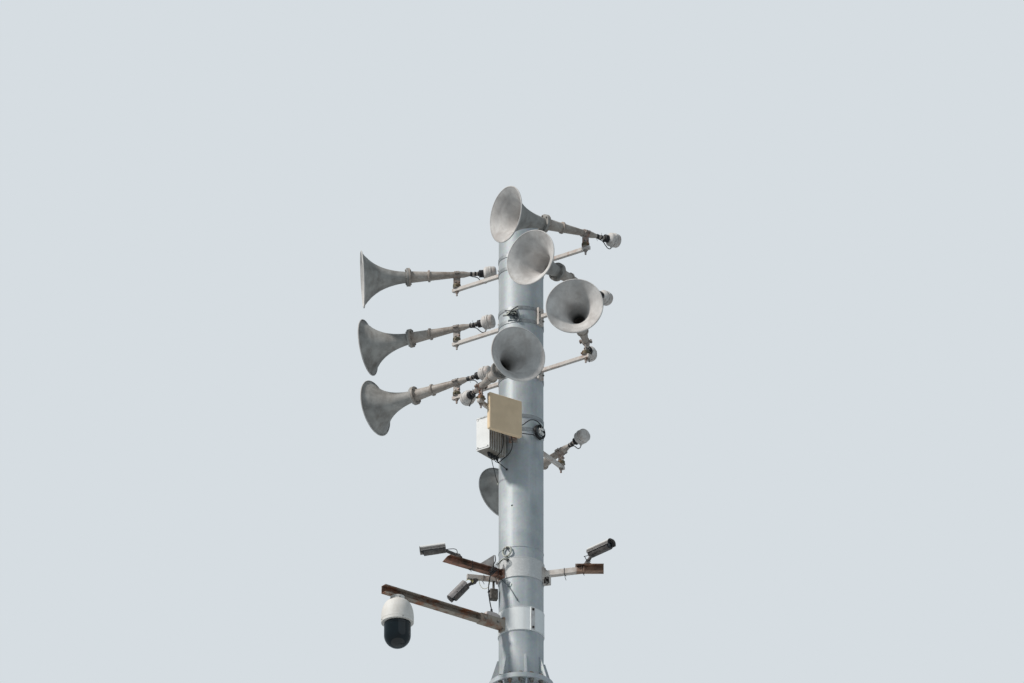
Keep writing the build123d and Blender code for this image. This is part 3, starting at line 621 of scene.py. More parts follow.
def box_finish(name):
    """White lid, with painted shade in grey-brown on its seat and the finned sides behind it."""
    look = Finish(name)
    plain = look.mapped()
    cloud = look.noise(plain, 8.0, 5.0)
    fine = look.noise(plain, 70.0, 6.0, 0.7)
    normal = look.add("NewGeometry", {}, "Normal")
    lid_way = polar(BOX_TURN + 180)
    ahead = look.math("ADD", look.math("MULTIPLY", look.axis(normal, "X"), lid_way.x),
                   look.math("MULTIPLY", look.axis(normal, "Y"), lid_way.y))
    lid = look.blend(cloud, 0.36, 0.66, (224, 224, 222), (236, 236, 235))
    # painted shade: the seat and finned sides, which face away from the lid's way, get a dark grey-brown
    shaded_sides = look.blend(cloud, 0.36, 0.66, (112, 104, 94), (158, 150, 140))
    color = look.blend(ahead, 0.80, 0.95, shaded_sides, lid)
    color = look.tint(color, fine, 0.58, 0.76, 0.4, (150, 142, 132))
    return look.done(color, (cloud, 0.40, 0.55), (fine, 0.15, 0.001))


MAT = {
    "mast": galvanised("mast_zinc"),
    "arm": weathered("arm_paint", (206, 200, 194), (176, 166, 158), (226, 222, 218),
                     streak_color=(150, 120, 100), rust=0.35, rough=0.55),
    "strap": weathered("strap_steel", (168, 172, 174), (128, 130, 132), (200, 202, 204),
                       metallic=0.6, rough=0.45),
    "band": weathered("band_paint", (212, 213, 212), (192, 193, 193), (228, 229, 229),
                      streak_color=(176, 160, 146), rough=0.5, rust=0.15),
    "dome_band": weathered("dome_band_paint", (236, 238, 238), (222, 225, 225), (242, 243, 243),
                           streak_color=(190, 180, 170), rough=0.5, rust=0.1, streak=0.2),
    "rusty": rusty("rusty_channel", (156, 146, 134)),
    "left_arm": two_part("left_arm_steel", "Z", heights("camera_arm_left")[1] - GUSSET_HEIGHT + 0.0015, 0.006,
                         ((156, 112, 94), (92, 74, 62)), ((206, 198, 192), (182, 172, 166))),
    "right_arm": two_part("right_arm_paint", "X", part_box("camera_arm_right")[1][0] - BROWN_LENGTH, 0.010,
                          ((212, 206, 200), (184, 174, 166)), ((152, 122, 102), (112, 88, 74))),
    # painted light and shade on the camera shields: pale tops, dark sides
    "shield": shield_painted_light("shield_paint", (226, 226, 224), (98, 94, 92)),
    "bracket": weathered("bracket_steel", (168, 160, 154), (128, 116, 108), (196, 190, 186),
                         streak_color=(120, 88, 70), rust=0.6),
    "tube": weathered("horn_tube_paint", (176, 168, 160), (136, 124, 114), (204, 200, 194),
                      streak_color=(112, 90, 76), rust=0.35, rough=0.55, patch=5.0),
    "knuckle": weathered("knuckle_bronze", (112, 106, 84), (76, 70, 56), (146, 138, 116),
                         metallic=0.3, rust=0.5, rough=0.55, patch=20.0),
    "gusset": weathered("gusset_paint", (200, 190, 186), (176, 162, 156), (220, 214, 210), rust=0.2),
    "bolt": weathered("bolt_zinc", (150, 148, 144), (104, 96, 88), (186, 184, 180),
                      metallic=0.7, rust=0.5, rough=0.5, patch=30.0, speck=200.0),
    "tape": moulded("black_tape", (34, 33, 34), (22, 21, 22), 0.5),
    "cable": moulded("black_cable", (36, 37, 39), (22, 22, 24), 0.45),
    "pale_cable": moulded("pale_cable", (226, 226, 216), (190, 190, 178), 0.55),
    "yellow_cable": moulded("yellow_cable", (214, 204, 140), (180, 170, 110), 0.55),
    "grey_cable": moulded("grey_cable", (112, 122, 126), (84, 92, 96), 0.55),
    "driver": weathered("driver_paint", (212, 208, 204), (176, 168, 162), (232, 230, 228),
                        streak_color=(140, 112, 98), rust=0.25, rough=0.55, patch=9.0),
    "ring": moulded("throat_ring", (46, 44, 46), (28, 26, 28), 0.55),
    "camera": weathered("camera_paint", (150, 146, 146), (112, 108, 108), (182, 178, 176),
                        rough=0.45, patch=12.0),
    "camera_white": weathered("camera_white_paint", (214, 212, 210), (186, 182, 180), (232, 230, 228),
                              rough=0.45, patch=12.0, streak=0.2),
    "camera_olive": weathered("camera_olive_paint", (88, 80, 70), (60, 54, 48), (150, 146, 140),
                              rough=0.5, patch=14.0),
    "camera_dark": moulded("camera_dark", (44, 46, 50), (28, 29, 32), 0.4),
    "camera_dark_paint": weathered("camera_dark_paint", (92, 86, 84), (58, 54, 54), (150, 146, 142),
                                   rough=0.45, patch=16.0, rust=0.2),
    "bolt_dark": weathered("bolt_dark", (72, 66, 62), (48, 42, 40), (110, 102, 96),
                           metallic=0.5, rust=0.6, patch=30.0),
    "clamp": weathered("clamp_steel", (104, 108, 112), (72, 74, 78), (150, 152, 154),
                       metallic=0.3, rough=0.5, patch=20.0),
    "lens": moulded("lens_glass", (14, 16, 20), (8, 9, 12), 0.06, bump=0.0, coat=1.0),
    "dome_cap": weathered("dome_cap_paint", (224, 221, 216), (208, 203, 196), (228, 226, 223),
                          streak_color=(176, 158, 144), patch=6.0, streak=0.22),
    "dome_ball": moulded("dome_ball_gloss", (6, 22, 28), (3, 14, 19), 0.06, bump=0.0),
    "panel": moulded("panel_cover", (234, 208, 174), (222, 196, 162), 0.6, speck=40.0),
    "panel_edge": moulded("panel_edge", (214, 188, 158), (198, 172, 142), 0.55, speck=40.0),
    "box": box_finish("box_paint"),
    "shiny": weathered("shiny_fitting", (206, 206, 204), (150, 150, 148), (236, 236, 234),
                       metallic=0.9, rough=0.28, patch=40.0, streak=0.0),
    # painted glint: white paint on a non-metal stands in for the shine of the coil's metal fitting
    "bright": weathered("fitting_painted_glint", (226, 226, 224), (180, 178, 174), (240, 240, 238),
                        rough=0.35, patch=40.0, streak=0.0),
}


# ---- horns ----
def bell_radius(reach):
    """Outer radius of the bell at a distance back from its mouth."""
    share = 1 - reach / BELL_LENGTH
    return BELL_THROAT * math.exp(math.log(BELL_MOUTH / BELL_THROAT) * share**1.5)


def make_bell(name, place, seed):
    """Thin flared bell with a rolled rim, a pressed ring near the mouth and its collar flange."""
    steps = 40
    segments = 96
    start = 0.004
    outer = []
    for index in range(steps + 1):
        reach = start + (BELL_LENGTH - COLLAR_THICK - start) * (index / steps) ** 1.25
        press = 0.0022 * math.exp(-((reach - 0.052) / 0.006) ** 2)
        outer.append((MOUTH_REACH - reach, bell_radius(reach) - BELL_WALL + press))
    inner = [(x, radius - BELL_WALL) for x, radius in outer]
    rim = []
    for step in range(12, 0, -1):
        turn = math.radians(200 - step * 27)
        rim.append((MOUTH_REACH - RIM_RADIUS + RIM_RADIUS * math.cos(turn),
                    BELL_MOUTH - RIM_RADIUS + RIM_RADIUS * math.sin(turn)))
    front = BELL_BACK + COLLAR_THICK
    collar = [
        (front, COLLAR_RADIUS - 0.002), (front - 0.002, COLLAR_RADIUS), (BELL_BACK + 0.001, COLLAR_RADIUS),
        (BELL_BACK, COLLAR_RADIUS - 0.001), (BELL_BACK, BELL_THROAT - BELL_WALL),
    ]
    profile = rim + outer + collar + inner[::-1]
    shape = Shape()
    shape.lathe(profile, None, segments, True)
    MAT["bell_" + name] = bell_finish("bell_" + name + "_finish", seed)
    piece = shape.piece("bell_skin_" + name, "horn_" + name, "horn_bell", "bell_" + name, "bell_" + name,
                        angle=30, place=place)
    rim_end = len(rim) * segments
    first_inner = (len(profile) - len(inner)) * segments
    inside = piece.data.attributes.new("inside", "FLOAT", "POINT")
    for index, item in enumerate(inside.data):
        item.value = float(index >= first_inner or index < rim_end)


def make_tube(name, place):
    """Thin tapering tube behind the bell with its collar, raised ring and neck, and the throat ring."""
    seat = BELL_BACK - COLLAR_THICK
    ring_front = RING_MIDDLE + RING_HALF
    ring_back = RING_MIDDLE - RING_HALF
    throat = BELL_THROAT - BELL_WALL
    outer = [
        (BELL_BACK - 0.0005, COLLAR_RADIUS - 0.001), (BELL_BACK - 0.0015, COLLAR_RADIUS),
        (seat + 0.001, COLLAR_RADIUS), (seat, COLLAR_RADIUS - 0.001), (seat, BELL_THROAT + 0.004),
        (seat - 0.002, BELL_THROAT + 0.0035), (seat - 0.006, BELL_THROAT),
        (seat - 0.008, BELL_THROAT - 0.0004), (ring_front + 0.004, RING_TUBE_RADIUS + 0.0006),
        (ring_front, RING_TUBE_RADIUS + 0.003), (ring_front, RING_RADIUS - 0.003),
        (ring_front - 0.003, RING_RADIUS), (ring_back + 0.003, RING_RADIUS),
        (ring_back, RING_RADIUS - 0.003), (ring_back, RING_TUBE_RADIUS + 0.003),
        (ring_back - 0.004, RING_TUBE_RADIUS), (CLAMP_END + 0.010, CLAMP_TUBE_RADIUS + 0.0012),
        (CLAMP_END, CLAMP_TUBE_RADIUS), (-CLAMP_END, CLAMP_TUBE_RADIUS),
        (-CLAMP_END - 0.006, CLAMP_TUBE_RADIUS - 0.0008), (NECK_START + 0.006, NECK_RADIUS + 0.0012),
        (NECK_START, NECK_RADIUS), (-NECK_END, NECK_RADIUS),
    ]
    inner = [
        (-NECK_END, 0.013), (-CLAMP_END, 0.020), (ring_back, 0.036), (seat, throat),
        (BELL_BACK - 0.0005, throat),
    ]
    pipe = Shape()
    pipe.lathe(outer + inner, None, 64, True)
    pipe.piece("horn_pipe_" + name, "horn_" + name, "horn_tube", "tube", "tube_" + name,
               angle=30, place=place)

    ring = Shape()
    radius = THROAT_RING_RADIUS
    groove = ((-0.0016, 0.0), (-0.001, -0.002), (0.001, -0.002), (0.0016, 0.0))
    rows = [(DRIVER_FRONT, 0.010), (DRIVER_FRONT, radius - 0.002), (DRIVER_FRONT + 0.002, radius)]
    for index in range(4):
        x = DRIVER_FRONT + 0.007 * (index + 1)
        rows += [(x + shift, radius + depth) for shift, depth in groove]
    rows += [(-NECK_END - 0.003, radius), (-NECK_END, radius - 0.004), (-NECK_END, 0.010)]
    ring.lathe(rows, None, 40)
    ring.piece("throat_ring_" + name, "horn_" + name, "horn_tube", "ring", angle=30, place=place)


def make_driver(name, place):
    """Compression driver: stepped case with grooves and a domed back, and the gland of its lead."""
    front = DRIVER_FRONT
    back = front - DRIVER_LENGTH
    middle = (front + back) / 2
    band = DRIVER_RADIUS - DRIVER_BAND_RADIUS
    depths = (
        (front, 0.020), (front - 0.004, 0.017), (front - 0.016, 0.002), (front - 0.020, 0.0),
        (middle + 0.012, 0.0), (middle + 0.010, 0.003), (middle + 0.008, 0.003),
        (middle + 0.007, band + 0.001), (middle + 0.005, band), (middle - 0.005, band),
        (middle - 0.007, band + 0.001), (middle - 0.008, 0.003), (middle - 0.011, 0.003),
        (middle - 0.012, 0.0), (back + 0.020, 0.0), (back + 0.012, 0.004), (back + 0.005, 0.013),
        (back + 0.001, 0.028),
    )
    profile = [(front, 0.030), *((x, DRIVER_RADIUS - depth) for x, depth in depths), (back, 0.010)]
    shape = Shape()
    shape.lathe(profile, None, 48)
    for step in range(6):
        spot = about_x(middle + 0.009, DRIVER_RADIUS + 0.001, math.pi / 3 * step + 0.3)
        shape.bolt(facing(spot, (1, 0, 0)), 0.008, 0.004, False)
    gland = hanging((front - 0.03, 0.0, -DRIVER_RADIUS + 0.006))
    shape.rod(gland, 0.010, 0.0, 0.016)
    shape.rod(gland, 0.007, 0.012, 0.024)
    shape.piece("driver_case_" + name, "horn_" + name, "driver_case", "driver", "driver_" + name, place=place)


def make_horn_bolts(name, place):
    """Bolts of the collar, of the tube clamp and of its lugs."""
    shape = Shape()
    for step in range(6):
        turn = math.pi / 3 * step + math.pi / 6
        for way in (1, -1):
            spot = about_x(BELL_BACK + way * COLLAR_THICK, COLLAR_BOLT_REACH, turn)
            shape.bolt(facing(spot, (way, 0, 0)), 0.013, 0.007)
    for x in (-0.013, 0.013):
        for y in (-CLAMP_TUBE_RADIUS - 0.0165, CLAMP_TUBE_RADIUS + 0.0165):
            for way in (1, -1):
                shape.bolt(facing((x, y, way * 0.006), (0, 0, way), (1, 0, 0)), 0.011, 0.006)
    for side in (-1, 1):
        for x in (0.016, -0.016):
            shape.bolt(facing((x, side * 0.006, -CLAMP_LUG_DROP), (0, side, 0)), 0.014, 0.007)
    shape.piece("horn_bolts_" + name, "horn_" + name, "bracket_steel", "bolt", place=place)


def make_knuckle_band(name, foot, azimuth):
    """Ribbed sleeve round the knuckle with its two clamp bolts, and the washer below the arm."""
    shape = Shape()
    half = ARM_SECTION / 2
    low = half + SEAT_GAP
    high = low + KNUCKLE_HEIGHT
    rib = ((-0.003, 0.0005), (-0.002, 0.0018), (0.002, 0.0018), (0.003, 0.0005))
    rows = [(low + 0.001, KNUCKLE_RADIUS - 0.004), (low + 0.001, KNUCKLE_RADIUS)]
    for index in range(3):
        x = low + 0.007 + index * 0.010
        rows += [(x + shift, KNUCKLE_RADIUS + swell) for shift, swell in rib]
    rows += [(high - 0.001, KNUCKLE_RADIUS), (high + 0.001, KNUCKLE_RADIUS - 0.005)]
    shape.lathe(rows, upright(foot), 40)
    for turn in (azimuth + 90, azimuth - 90):
        spot = foot + polar(turn, KNUCKLE_RADIUS + 0.001, (low + high) / 2)
        shape.bolt(facing(spot, polar(turn)), 0.015, 0.008)
    shape.rod(Matrix.Translation(foot), 0.019, -half - 0.0025, -half - 0.0004, 24)
    shape.piece("knuckle_band_" + name, "horn_" + name, "bracket_steel", "knuckle", angle=35)


def make_neck_tape(name, place, rng):
    """Black tape wound round the neck, with the tails of cable ties."""
    shape = Shape()
    for band in range(4):
        width = rng.uniform(0.012, 0.030)
        low = -NECK_END - 0.010 + band * 0.034
        rows = []
        for step in range(7):
            share = step / 6
            swell = 0.0012 + 0.0022 * math.sin(math.pi * share) + rng.uniform(0, 0.0008)
            rows.append((low + width * share, NECK_RADIUS + swell))
        if low > NECK_START:
            continue
        shape.lathe(rows, None, 24)
        turn = rng.uniform(0, 2 * math.pi)
        start = about_x(low + width / 2, NECK_RADIUS + 0.002, turn)
        end = start + about_x(rng.uniform(-0.01, 0.01), 0.022, turn + 0.5)
        shape.tube([start, (start + end) / 2 + rise(0.003), end], 0.0014, 6)
    shape.piece("neck_tape_" + name, "horn_" + name, "black_cable", "tape", angle=50, place=place)


def make_horn_lead(name, place, rng):
    """Short speaker lead that sags from the driver's gland to the tape on the neck."""
    front = DRIVER_FRONT - 0.03
    y = rng.uniform(-0.004, 0.004)
    points = [
        (front, 0.0, -DRIVER_RADIUS - 0.012), (front + 0.004, 0.0, -DRIVER_RADIUS - 0.030),
        (front + 0.034, y, -DRIVER_RADIUS - 0.032), (-NECK_END - 0.010, y * 2, -DRIVER_RADIUS - 0.006),
        (-NECK_END + 0.012, y, -NECK_RADIUS - 0.018), (-0.150, y, -NECK_RADIUS - 0.007),
        (-0.126, y, -NECK_RADIUS - 0.004),
    ]
    cable("horn_lead_" + name, [place @ Vector(point) for point in points], 0.008, body="horn_" + name)


def make_horn_arm(name, azimuth, arm_height):
    """Bolts of the saddle, the weld at the root and the end cap of one horn arm."""
    saddle_height = arm_height + ARM_DROPS.get(name, 0.0)
    outward = polar(azimuth)
    side = Vector((-outward.y, outward.x, 0))
    bolts = Shape()
    for up in (0.036, -0.016 if name in ARM_DROPS else -0.036):
        for across in (-0.026, 0.026):
            spot = polar(azimuth, SADDLE_FACE, saddle_height + up) + side * across
            bolts.bolt(facing(spot, outward), 0.015, 0.008)
    bolts.piece("saddle_bolts_" + name, "root", "strap_steel", "bolt")

    ends = Shape()
    half = ARM_SECTION / 2
    inset = half - 0.001
    ends.box((-inset, -inset, 0.0), (inset, inset, 0.0035), off_mast(azimuth, ARM_REACH, arm_height), 0.0012)
    ends.frame(off_mast(azimuth, SADDLE_FACE, arm_height), half, half, 0.001, 0.0026)
    ends.piece("arm_ends_" + name, "root", "arm_paint", "arm")


def make_horns():
    """Everything that dresses the eight horns."""
    for index, name in enumerate(HORNS):
        rng = random.Random(100 + index)
        foot = Vector(joints["horn_" + name + "_swivel"]["pos_m"])
        pivot = foot + rise(AXIS_HEIGHT)
        place = along_axis(pivot, pivot - node_center("driver_" + name))
        make_bell(name, place, 3.7 * index)
        make_tube(name, place)
        make_driver(name, place)
        make_horn_bolts(name, place)
        make_knuckle_band(name, foot, math.degrees(math.atan2(place[1][0], place[0][0])))
        make_neck_tape(name, place, rng)
        make_horn_lead(name, place, rng)
        make_horn_arm(name, math.degrees(math.atan2(foot.y, foot.x)), foot.z)


# ---- mast, bands and straps ----
def make_mast_fittings():
    """Bolts of the flange joint and weld beads round the mast."""
    joint = heights("joint_flange_upper")[0]
    bolts = Shape()
    for index in range(FLANGE_BOLTS):
        azimuth = RIB_TURN + (index + 0.5) * 360 / FLANGE_BOLTS
        top = Matrix.Translation(polar(azimuth, FLANGE_BOLT_CIRCLE, joint + FLANGE_THICK))
        bottom = hanging(polar(azimuth, FLANGE_BOLT_CIRCLE, joint - FLANGE_THICK))
        bolts.through_bolt(top, 0.036, 0.017, 0.0115, 2 * FLANGE_THICK)
        bolts.bolt(bottom, 0.036, 0.020)
        bolts.rod(bottom, 0.011, 0.020, 0.036, 14)
    bolts.piece("flange_bolts", "root", "galvanised_mast", "bolt")

    seam = joint + SEAM_RISE
    thin = [joint + FLANGE_THICK, joint - FLANGE_THICK, seam, seam - SEAM_LENGTH]
    thick = [heights("base_flange")[1] - BASE_SEAM_DROP, heights("pole_cap")[0]]
    welds = Shape()
    for levels, radius in ((thin, 0.0035), (thick, 0.004)):
        for height in levels:
            welds.hoop(Matrix.Translation((0, 0, height)), POLE_RADIUS, radius)
    welds.piece("mast_welds", "root", "galvanised_mast", "mast", angle=60)


def make_ear_bolts(node, azimuth, spread):
    """Two bolts through the ears of a clamp band, equally far above and below its middle."""
    side = polar(azimuth + 90)
    shape = Shape()
    for up in (-spread, spread):
        spot = polar(azimuth, EAR_BOLT_REACH, middle_height(node) + up)
        shape.through_bolt(facing(spot + side * EAR_HALF, side), 0.020, 0.011, 0.007, 2 * EAR_HALF)
        shape.bolt(facing(spot - side * EAR_HALF, -side), 0.020, 0.013)
    shape.piece(node + "_bolts", "root", "strap_steel", "bolt")


def make_band_fittings():
    """Ear bolts, rolled edges and the bolted cover strip of the two clamp bands."""
    make_ear_bolts("camera_band", 90, 0.055)
    make_ear_bolts("dome_band", 119, 0.078)
    edges = Shape()
    for node in ("camera_band", "dome_band"):
        low, high = heights(node)
        for height in (low + 0.004, high - 0.004):
            edges.hoop(Matrix.Translation((0, 0, height)), BAND_RADIUS - 0.001, 0.0028)
    edges.piece("band_edges", "root", "band_paint", "band", angle=60)

    place = off_mast(COVER_AZIMUTH, COVER_REACH, middle_height("dome_band"))
    low, high = heights("dome_band")
    half = (high - low) / 2 - 0.004
    strip = Shape()
    strip.box((-0.019, -half, 0.0), (0.019, half, COVER_THICK), place, 0.0012)
    strip.piece("band_cover_strip", "root", "band_paint", "camera_white", angle=35)
    screws = Shape()
    for up in (-0.082, 0.082):
        screws.bolt(moved(place, 0, up, COVER_THICK), 0.018, 0.009)
    screws.piece("cover_strip_bolts", "root", "strap_steel", "bolt_dark")


def strap_levels():
    """Heights of the four levels of saddles, from the lowest up."""
    return sorted({
        round(joints["horn_" + name + "_swivel"]["pos_m"][2] + ARM_DROPS.get(name, 0.0), 4) for name in HORNS
    })


def make_strap_buckles():
    """Tension buckle of each strap at the back of the mast."""
    shape = Shape()
    for height in strap_levels():
        for up in (-STRAP_OFFSET, STRAP_OFFSET):
            place = off_mast(BUCKLE_AZIMUTH, POLE_RADIUS + 0.004, height + up)
            shape.box((-0.026, -0.017, 0.0), (0.026, 0.017, 0.011), place, 0.002)
            shape.bolt(moved(place, 0.010, 0, 0.011), 0.011, 0.006)
            shape.box((0.026, -0.013, 0.001), (0.052, 0.013, 0.0035), place, 0.0008)
    shape.piece("strap_buckles", "root", "strap_steel", "strap")


def make_cable_clamp():
    """Front clamp of the second level: a steel plate with a knot of cable ends on it."""
    place = off_mast(CLAMP_AZIMUTH, POLE_RADIUS + 0.005, strap_levels()[2])
    plate = Shape()
    outline = [(-0.020, 0.040), (0.030, 0.058), (0.062, -0.070), (0.048, -0.078), (-0.030, 0.005)]
    plate.loft([(0.0, outline), (0.006, outline)], place)
    plate.box((-0.046, -0.016, 0.0), (0.034, 0.016, 0.022), place, 0.003)
    for x in (-0.028, 0.016):
        plate.bolt(moved(place, x, 0, 0.022), 0.016, 0.009)
    plate.piece("cable_clamp_plate", "root", "bracket_steel", "clamp", angle=35)

    rng = random.Random(7)
    for index in range(5):
        shift = rng.uniform(-0.03, 0.03)
        points = [
            (-0.050 + shift, 0.030 - index * 0.012, 0.030),
            (-0.030, 0.020 - index * 0.010, 0.036 + 0.006 * (index % 2)),
            (0.000, rng.uniform(-0.010, 0.014), 0.040 + 0.004 * index),
            (0.022, -0.014 + index * 0.012, 0.034),
            (0.044 - shift / 2, -0.034 + index * 0.022, 0.024),
        ]
        slot, finish = ("pale_cable", "pale_cable") if index in (1, 3) else ("black_cable", "cable")
        shape = Shape()
        shape.tube(smooth_path([place @ Vector(point) for point in points]), 0.0042)
        shape.piece(f"clamp_cable_{index + 1}", "root", slot, finish, angle=60)


# ---- camera arms ----
def make_arm_fittings():
    """Root bolts of the camera arms, the wire tied round the right arm's cleat, and the cable ties."""
    band = middle_height("camera_band")
    dome_height = middle_height("dome_band") - DOME_ARM_DROP
    left, middle, right = (band - drop for drop in (LEFT_ARM_DROP, MIDDLE_ARM_DROP, RIGHT_ARM_DROP))
    bolts = Shape()
    for azimuth, height, across, rises in (
        (LEFT_ARM, left, 0.0295, (-0.032, 0.032)), (MIDDLE_ARM, middle, 0.0278, (0.0,)),
        (RIGHT_ARM, right, 0.022, (0.041,)), (DOME_ARM, dome_height, 0.022, (0.050, -0.050)),
    ):
        place = off_mast(azimuth, ROOT_PLATE_FACE, height)
        for up in rises:
            for x in (-across, across):
                bolts.bolt(moved(place, x, up, 0), 0.011, 0.007)
    side = polar(DOME_ARM - 90)
    for reach in (0.27, 0.40):
        for way, head in ((1, 0.011), (-1, 0.013)):
            spot = polar(DOME_ARM, reach, dome_height) + side * way * SLEEVE_HALF
            bolts.bolt(facing(spot, side * way), 0.020, head)
    bolts.piece("arm_root_bolts", "root", "bracket_steel", "bolt")

    cleat = Shape()
    place = facing(polar(RIGHT_ARM, 0.228, right - 0.062), polar(RIGHT_ARM - 90))
    cleat.bolt(moved(place, 0, 0.012, -0.014), 0.018, 0.010)
    cleat.tube(smooth_path([place @ Vector(point) for point in (
        (0.018, 0.030, 0.006), (0.024, 0.004, 0.014), (0.010, -0.036, 0.018), (-0.014, -0.030, 0.014),
        (-0.018, 0.004, 0.010), (-0.012, 0.028, 0.004))]), 0.0042)
    cleat.piece("root_cleat_bolt", "root", "bracket_steel", "bolt_dark")

    ties = Shape()
    for azimuth, reach, height, wide, tall, tail in (
        (RIGHT_ARM, 0.385, right, 0.0272, 0.0272, 0.055), (RIGHT_ARM, 0.545, right, 0.0272, 0.0272, 0.030),
        (LEFT_ARM, 0.255, left, 0.0262, 0.0347, 0.050), (LEFT_ARM, 0.520, left, 0.0262, 0.0347, 0.018),
        (MIDDLE_ARM, 0.330, middle, 0.0222, 0.0222, 0.028),
    ):
        place = off_mast(azimuth, reach, height)
        ties.frame(place, wide, tall, 0.0, 0.0022, 6)
        start = place @ Vector((-wide / 2, -tall, 0))
        steps = ((0, 0, 0), (0.004, 0, -tail / 2), (0.012, 0, -tail))
        ties.tube([start + Vector(step) for step in steps], 0.0022, 6)
    ties.piece("arm_cable_ties", "root", "black_cable", "tape", angle=60)


# ---- cameras ----
def make_camera_body(name, foot, upward, place, length):
    """Rounded camera body with cooling ribs near its back, a bezel, its foot, ball, stem and screws."""
    size = CAMERA_SIZE

    def hull(inset):
        return rounded(size - inset, CAMERA_CORNER - inset / 2)

    rings = [(0.0, hull(0.010)), (0.004, hull(0.0))]
    for rib in range(5):
        for shift, inset in ((0.0, 0.0), (0.0015, 0.004), (0.005, 0.004), (0.0065, 0.0)):
            rings.append((0.012 + rib * 0.010 + shift, hull(inset)))
    bezel = ((0.034, 0.0), (0.033, 0.003), (0.031, 0.003), (0.030, 0.0), (0.004, 0.0), (0.0, 0.008))
    rings += [(length - back, hull(inset)) for back, inset in bezel]
    shape = Shape()
    shape.loft(rings, place)
    seat = facing(foot, (0, 0, upward), (1, 0, 0))
    shape.rod(seat, 0.033, 0.0, 0.012, 40)
    shape.rod(seat, 0.022, 0.010, 0.018, 32)
    ball = moved(seat, 0, 0, 0.022)
    turns = [math.pi * step / 12 for step in range(12, -1, -1)]
    shape.lathe([(0.020 * math.cos(turn), max(0.020 * math.sin(turn), 0.0004)) for turn in turns], ball, 32)
    along = place @ Vector((0, 0, size / 2)) - ball.translation
    stem = facing(ball.translation, along, (0.3, 0.1, 1))
    shape.rod(stem, CAMERA_STEM, 0.0, along.length, 28)
    shape.rod(stem, 0.019, 0.016, 0.026, 28)
    shape.piece(name + "_body", name, "camera_shell", "camera_dark_paint", name, angle=35)

    screws = Shape()
    for turn in (30, 150, 270):
        screws.bolt(seat @ Matrix.Translation(polar(turn, 0.026, 0.012)), 0.007, 0.003, False)
    for side in (-1, 1):
        outward = place.to_3x3() @ Vector((side, 0, 0))
        for share in (0.3, 0.7):
            spot = place @ Vector((side * (size / 2 + SHIELD_GAP + 0.003), 0.004, length * share))
            screws.bolt(facing(spot, outward), 0.008, 0.004)
    screws.piece(name + "_screws", name, "camera_shell", "bolt")


def make_camera_shield(name, place, length, finish):
    """Sun shield over a camera body: a thin rounded hood with rolled lips, held on a rib."""
    wide = CAMERA_SIZE / 2 + SHIELD_GAP
    deep = length + SHIELD_REACH
    lip = -0.008
    hood = []
    for half in (wide + 0.003, wide):
        arch = rounded(2 * half, half - CAMERA_SIZE / 2 + CAMERA_CORNER, 8)[:18]
        hood.append([(half, lip)] + arch + [(-half, lip)])
    outline = hood[0] + hood[1][::-1]
    low, high = CAMERA_SIZE / 2 - 0.002, wide + 0.001
    rib = [(-0.008, low), (0.008, low), (0.008, high), (-0.008, high)]
    shape = Shape()
    shape.loft([(0.0, outline), (deep, outline)], place)
    shape.loft([(0.01, rib), (length - 0.01, rib)], place)
    for edge in (wide + 0.0015, -wide - 0.0015):
        shape.tube([place @ Vector((edge, lip, z)) for z in (0.0, deep / 2, deep)], 0.0024)
    shape.piece(name + "_shield", name, "camera_shell", finish, angle=30)


def make_camera_lens(name, place, forward, length):
    """Rim and ring of small lamps at the front of a camera, and its glass with the lens."""
    front = along_axis(place @ Vector((0, 0, length)), forward)
    ring = Shape()
    ring.lathe([(-0.001, 0.0245), (0.0045, 0.0250), (0.0055, 0.0262), (0.0052, 0.0290), (0.004, 0.0302),
                (-0.001, 0.0302)], front, 48, True)
    for step in range(12):
        spot = front @ about_x(0.0005, 0.020, math.pi / 6 * step)
        ring.rod(facing(spot, forward, (0.2, 0.1, 1)), 0.0022, -0.001, 0.0022, 10)
    ring.piece(name + "_lens_ring", name, "camera_shell", "camera_dark", angle=35)
    glass = Shape()
    glass.lathe([(-0.001, 0.0243), (0.0008, 0.0243), (0.0012, 0.014), (0.0016, 0.0135), (0.0040, 0.008),
                 (0.0048, 0.002)], front, 40)
    glass.piece(name + "_lens", name, "camera_shell", "lens", angle=50)


def make_camera_lead(name, foot, upward, place, forward, sway, diameter, finish):
    """Short lead from the back of a camera body to its foot, in a loop that sways to one side."""
    start = place @ Vector((sway * 0.020, -upward * 0.022, 0.0))
    out = start - forward * 0.034
    reach = Vector((start.x - foot.x, start.y - foot.y, 0)).normalized()
    side = Vector((-reach.y, reach.x, 0)) * sway
    end = foot + reach * 0.020 + side * 0.018 + rise(upward * 0.013)
    top = rise(upward * 0.040)
    points = [start, out, (out + end) / 2 + side * 0.029 + top * 0.5, end + side * 0.012 + top, end]
    cable(name + "_lead", points, diameter, finish, name)


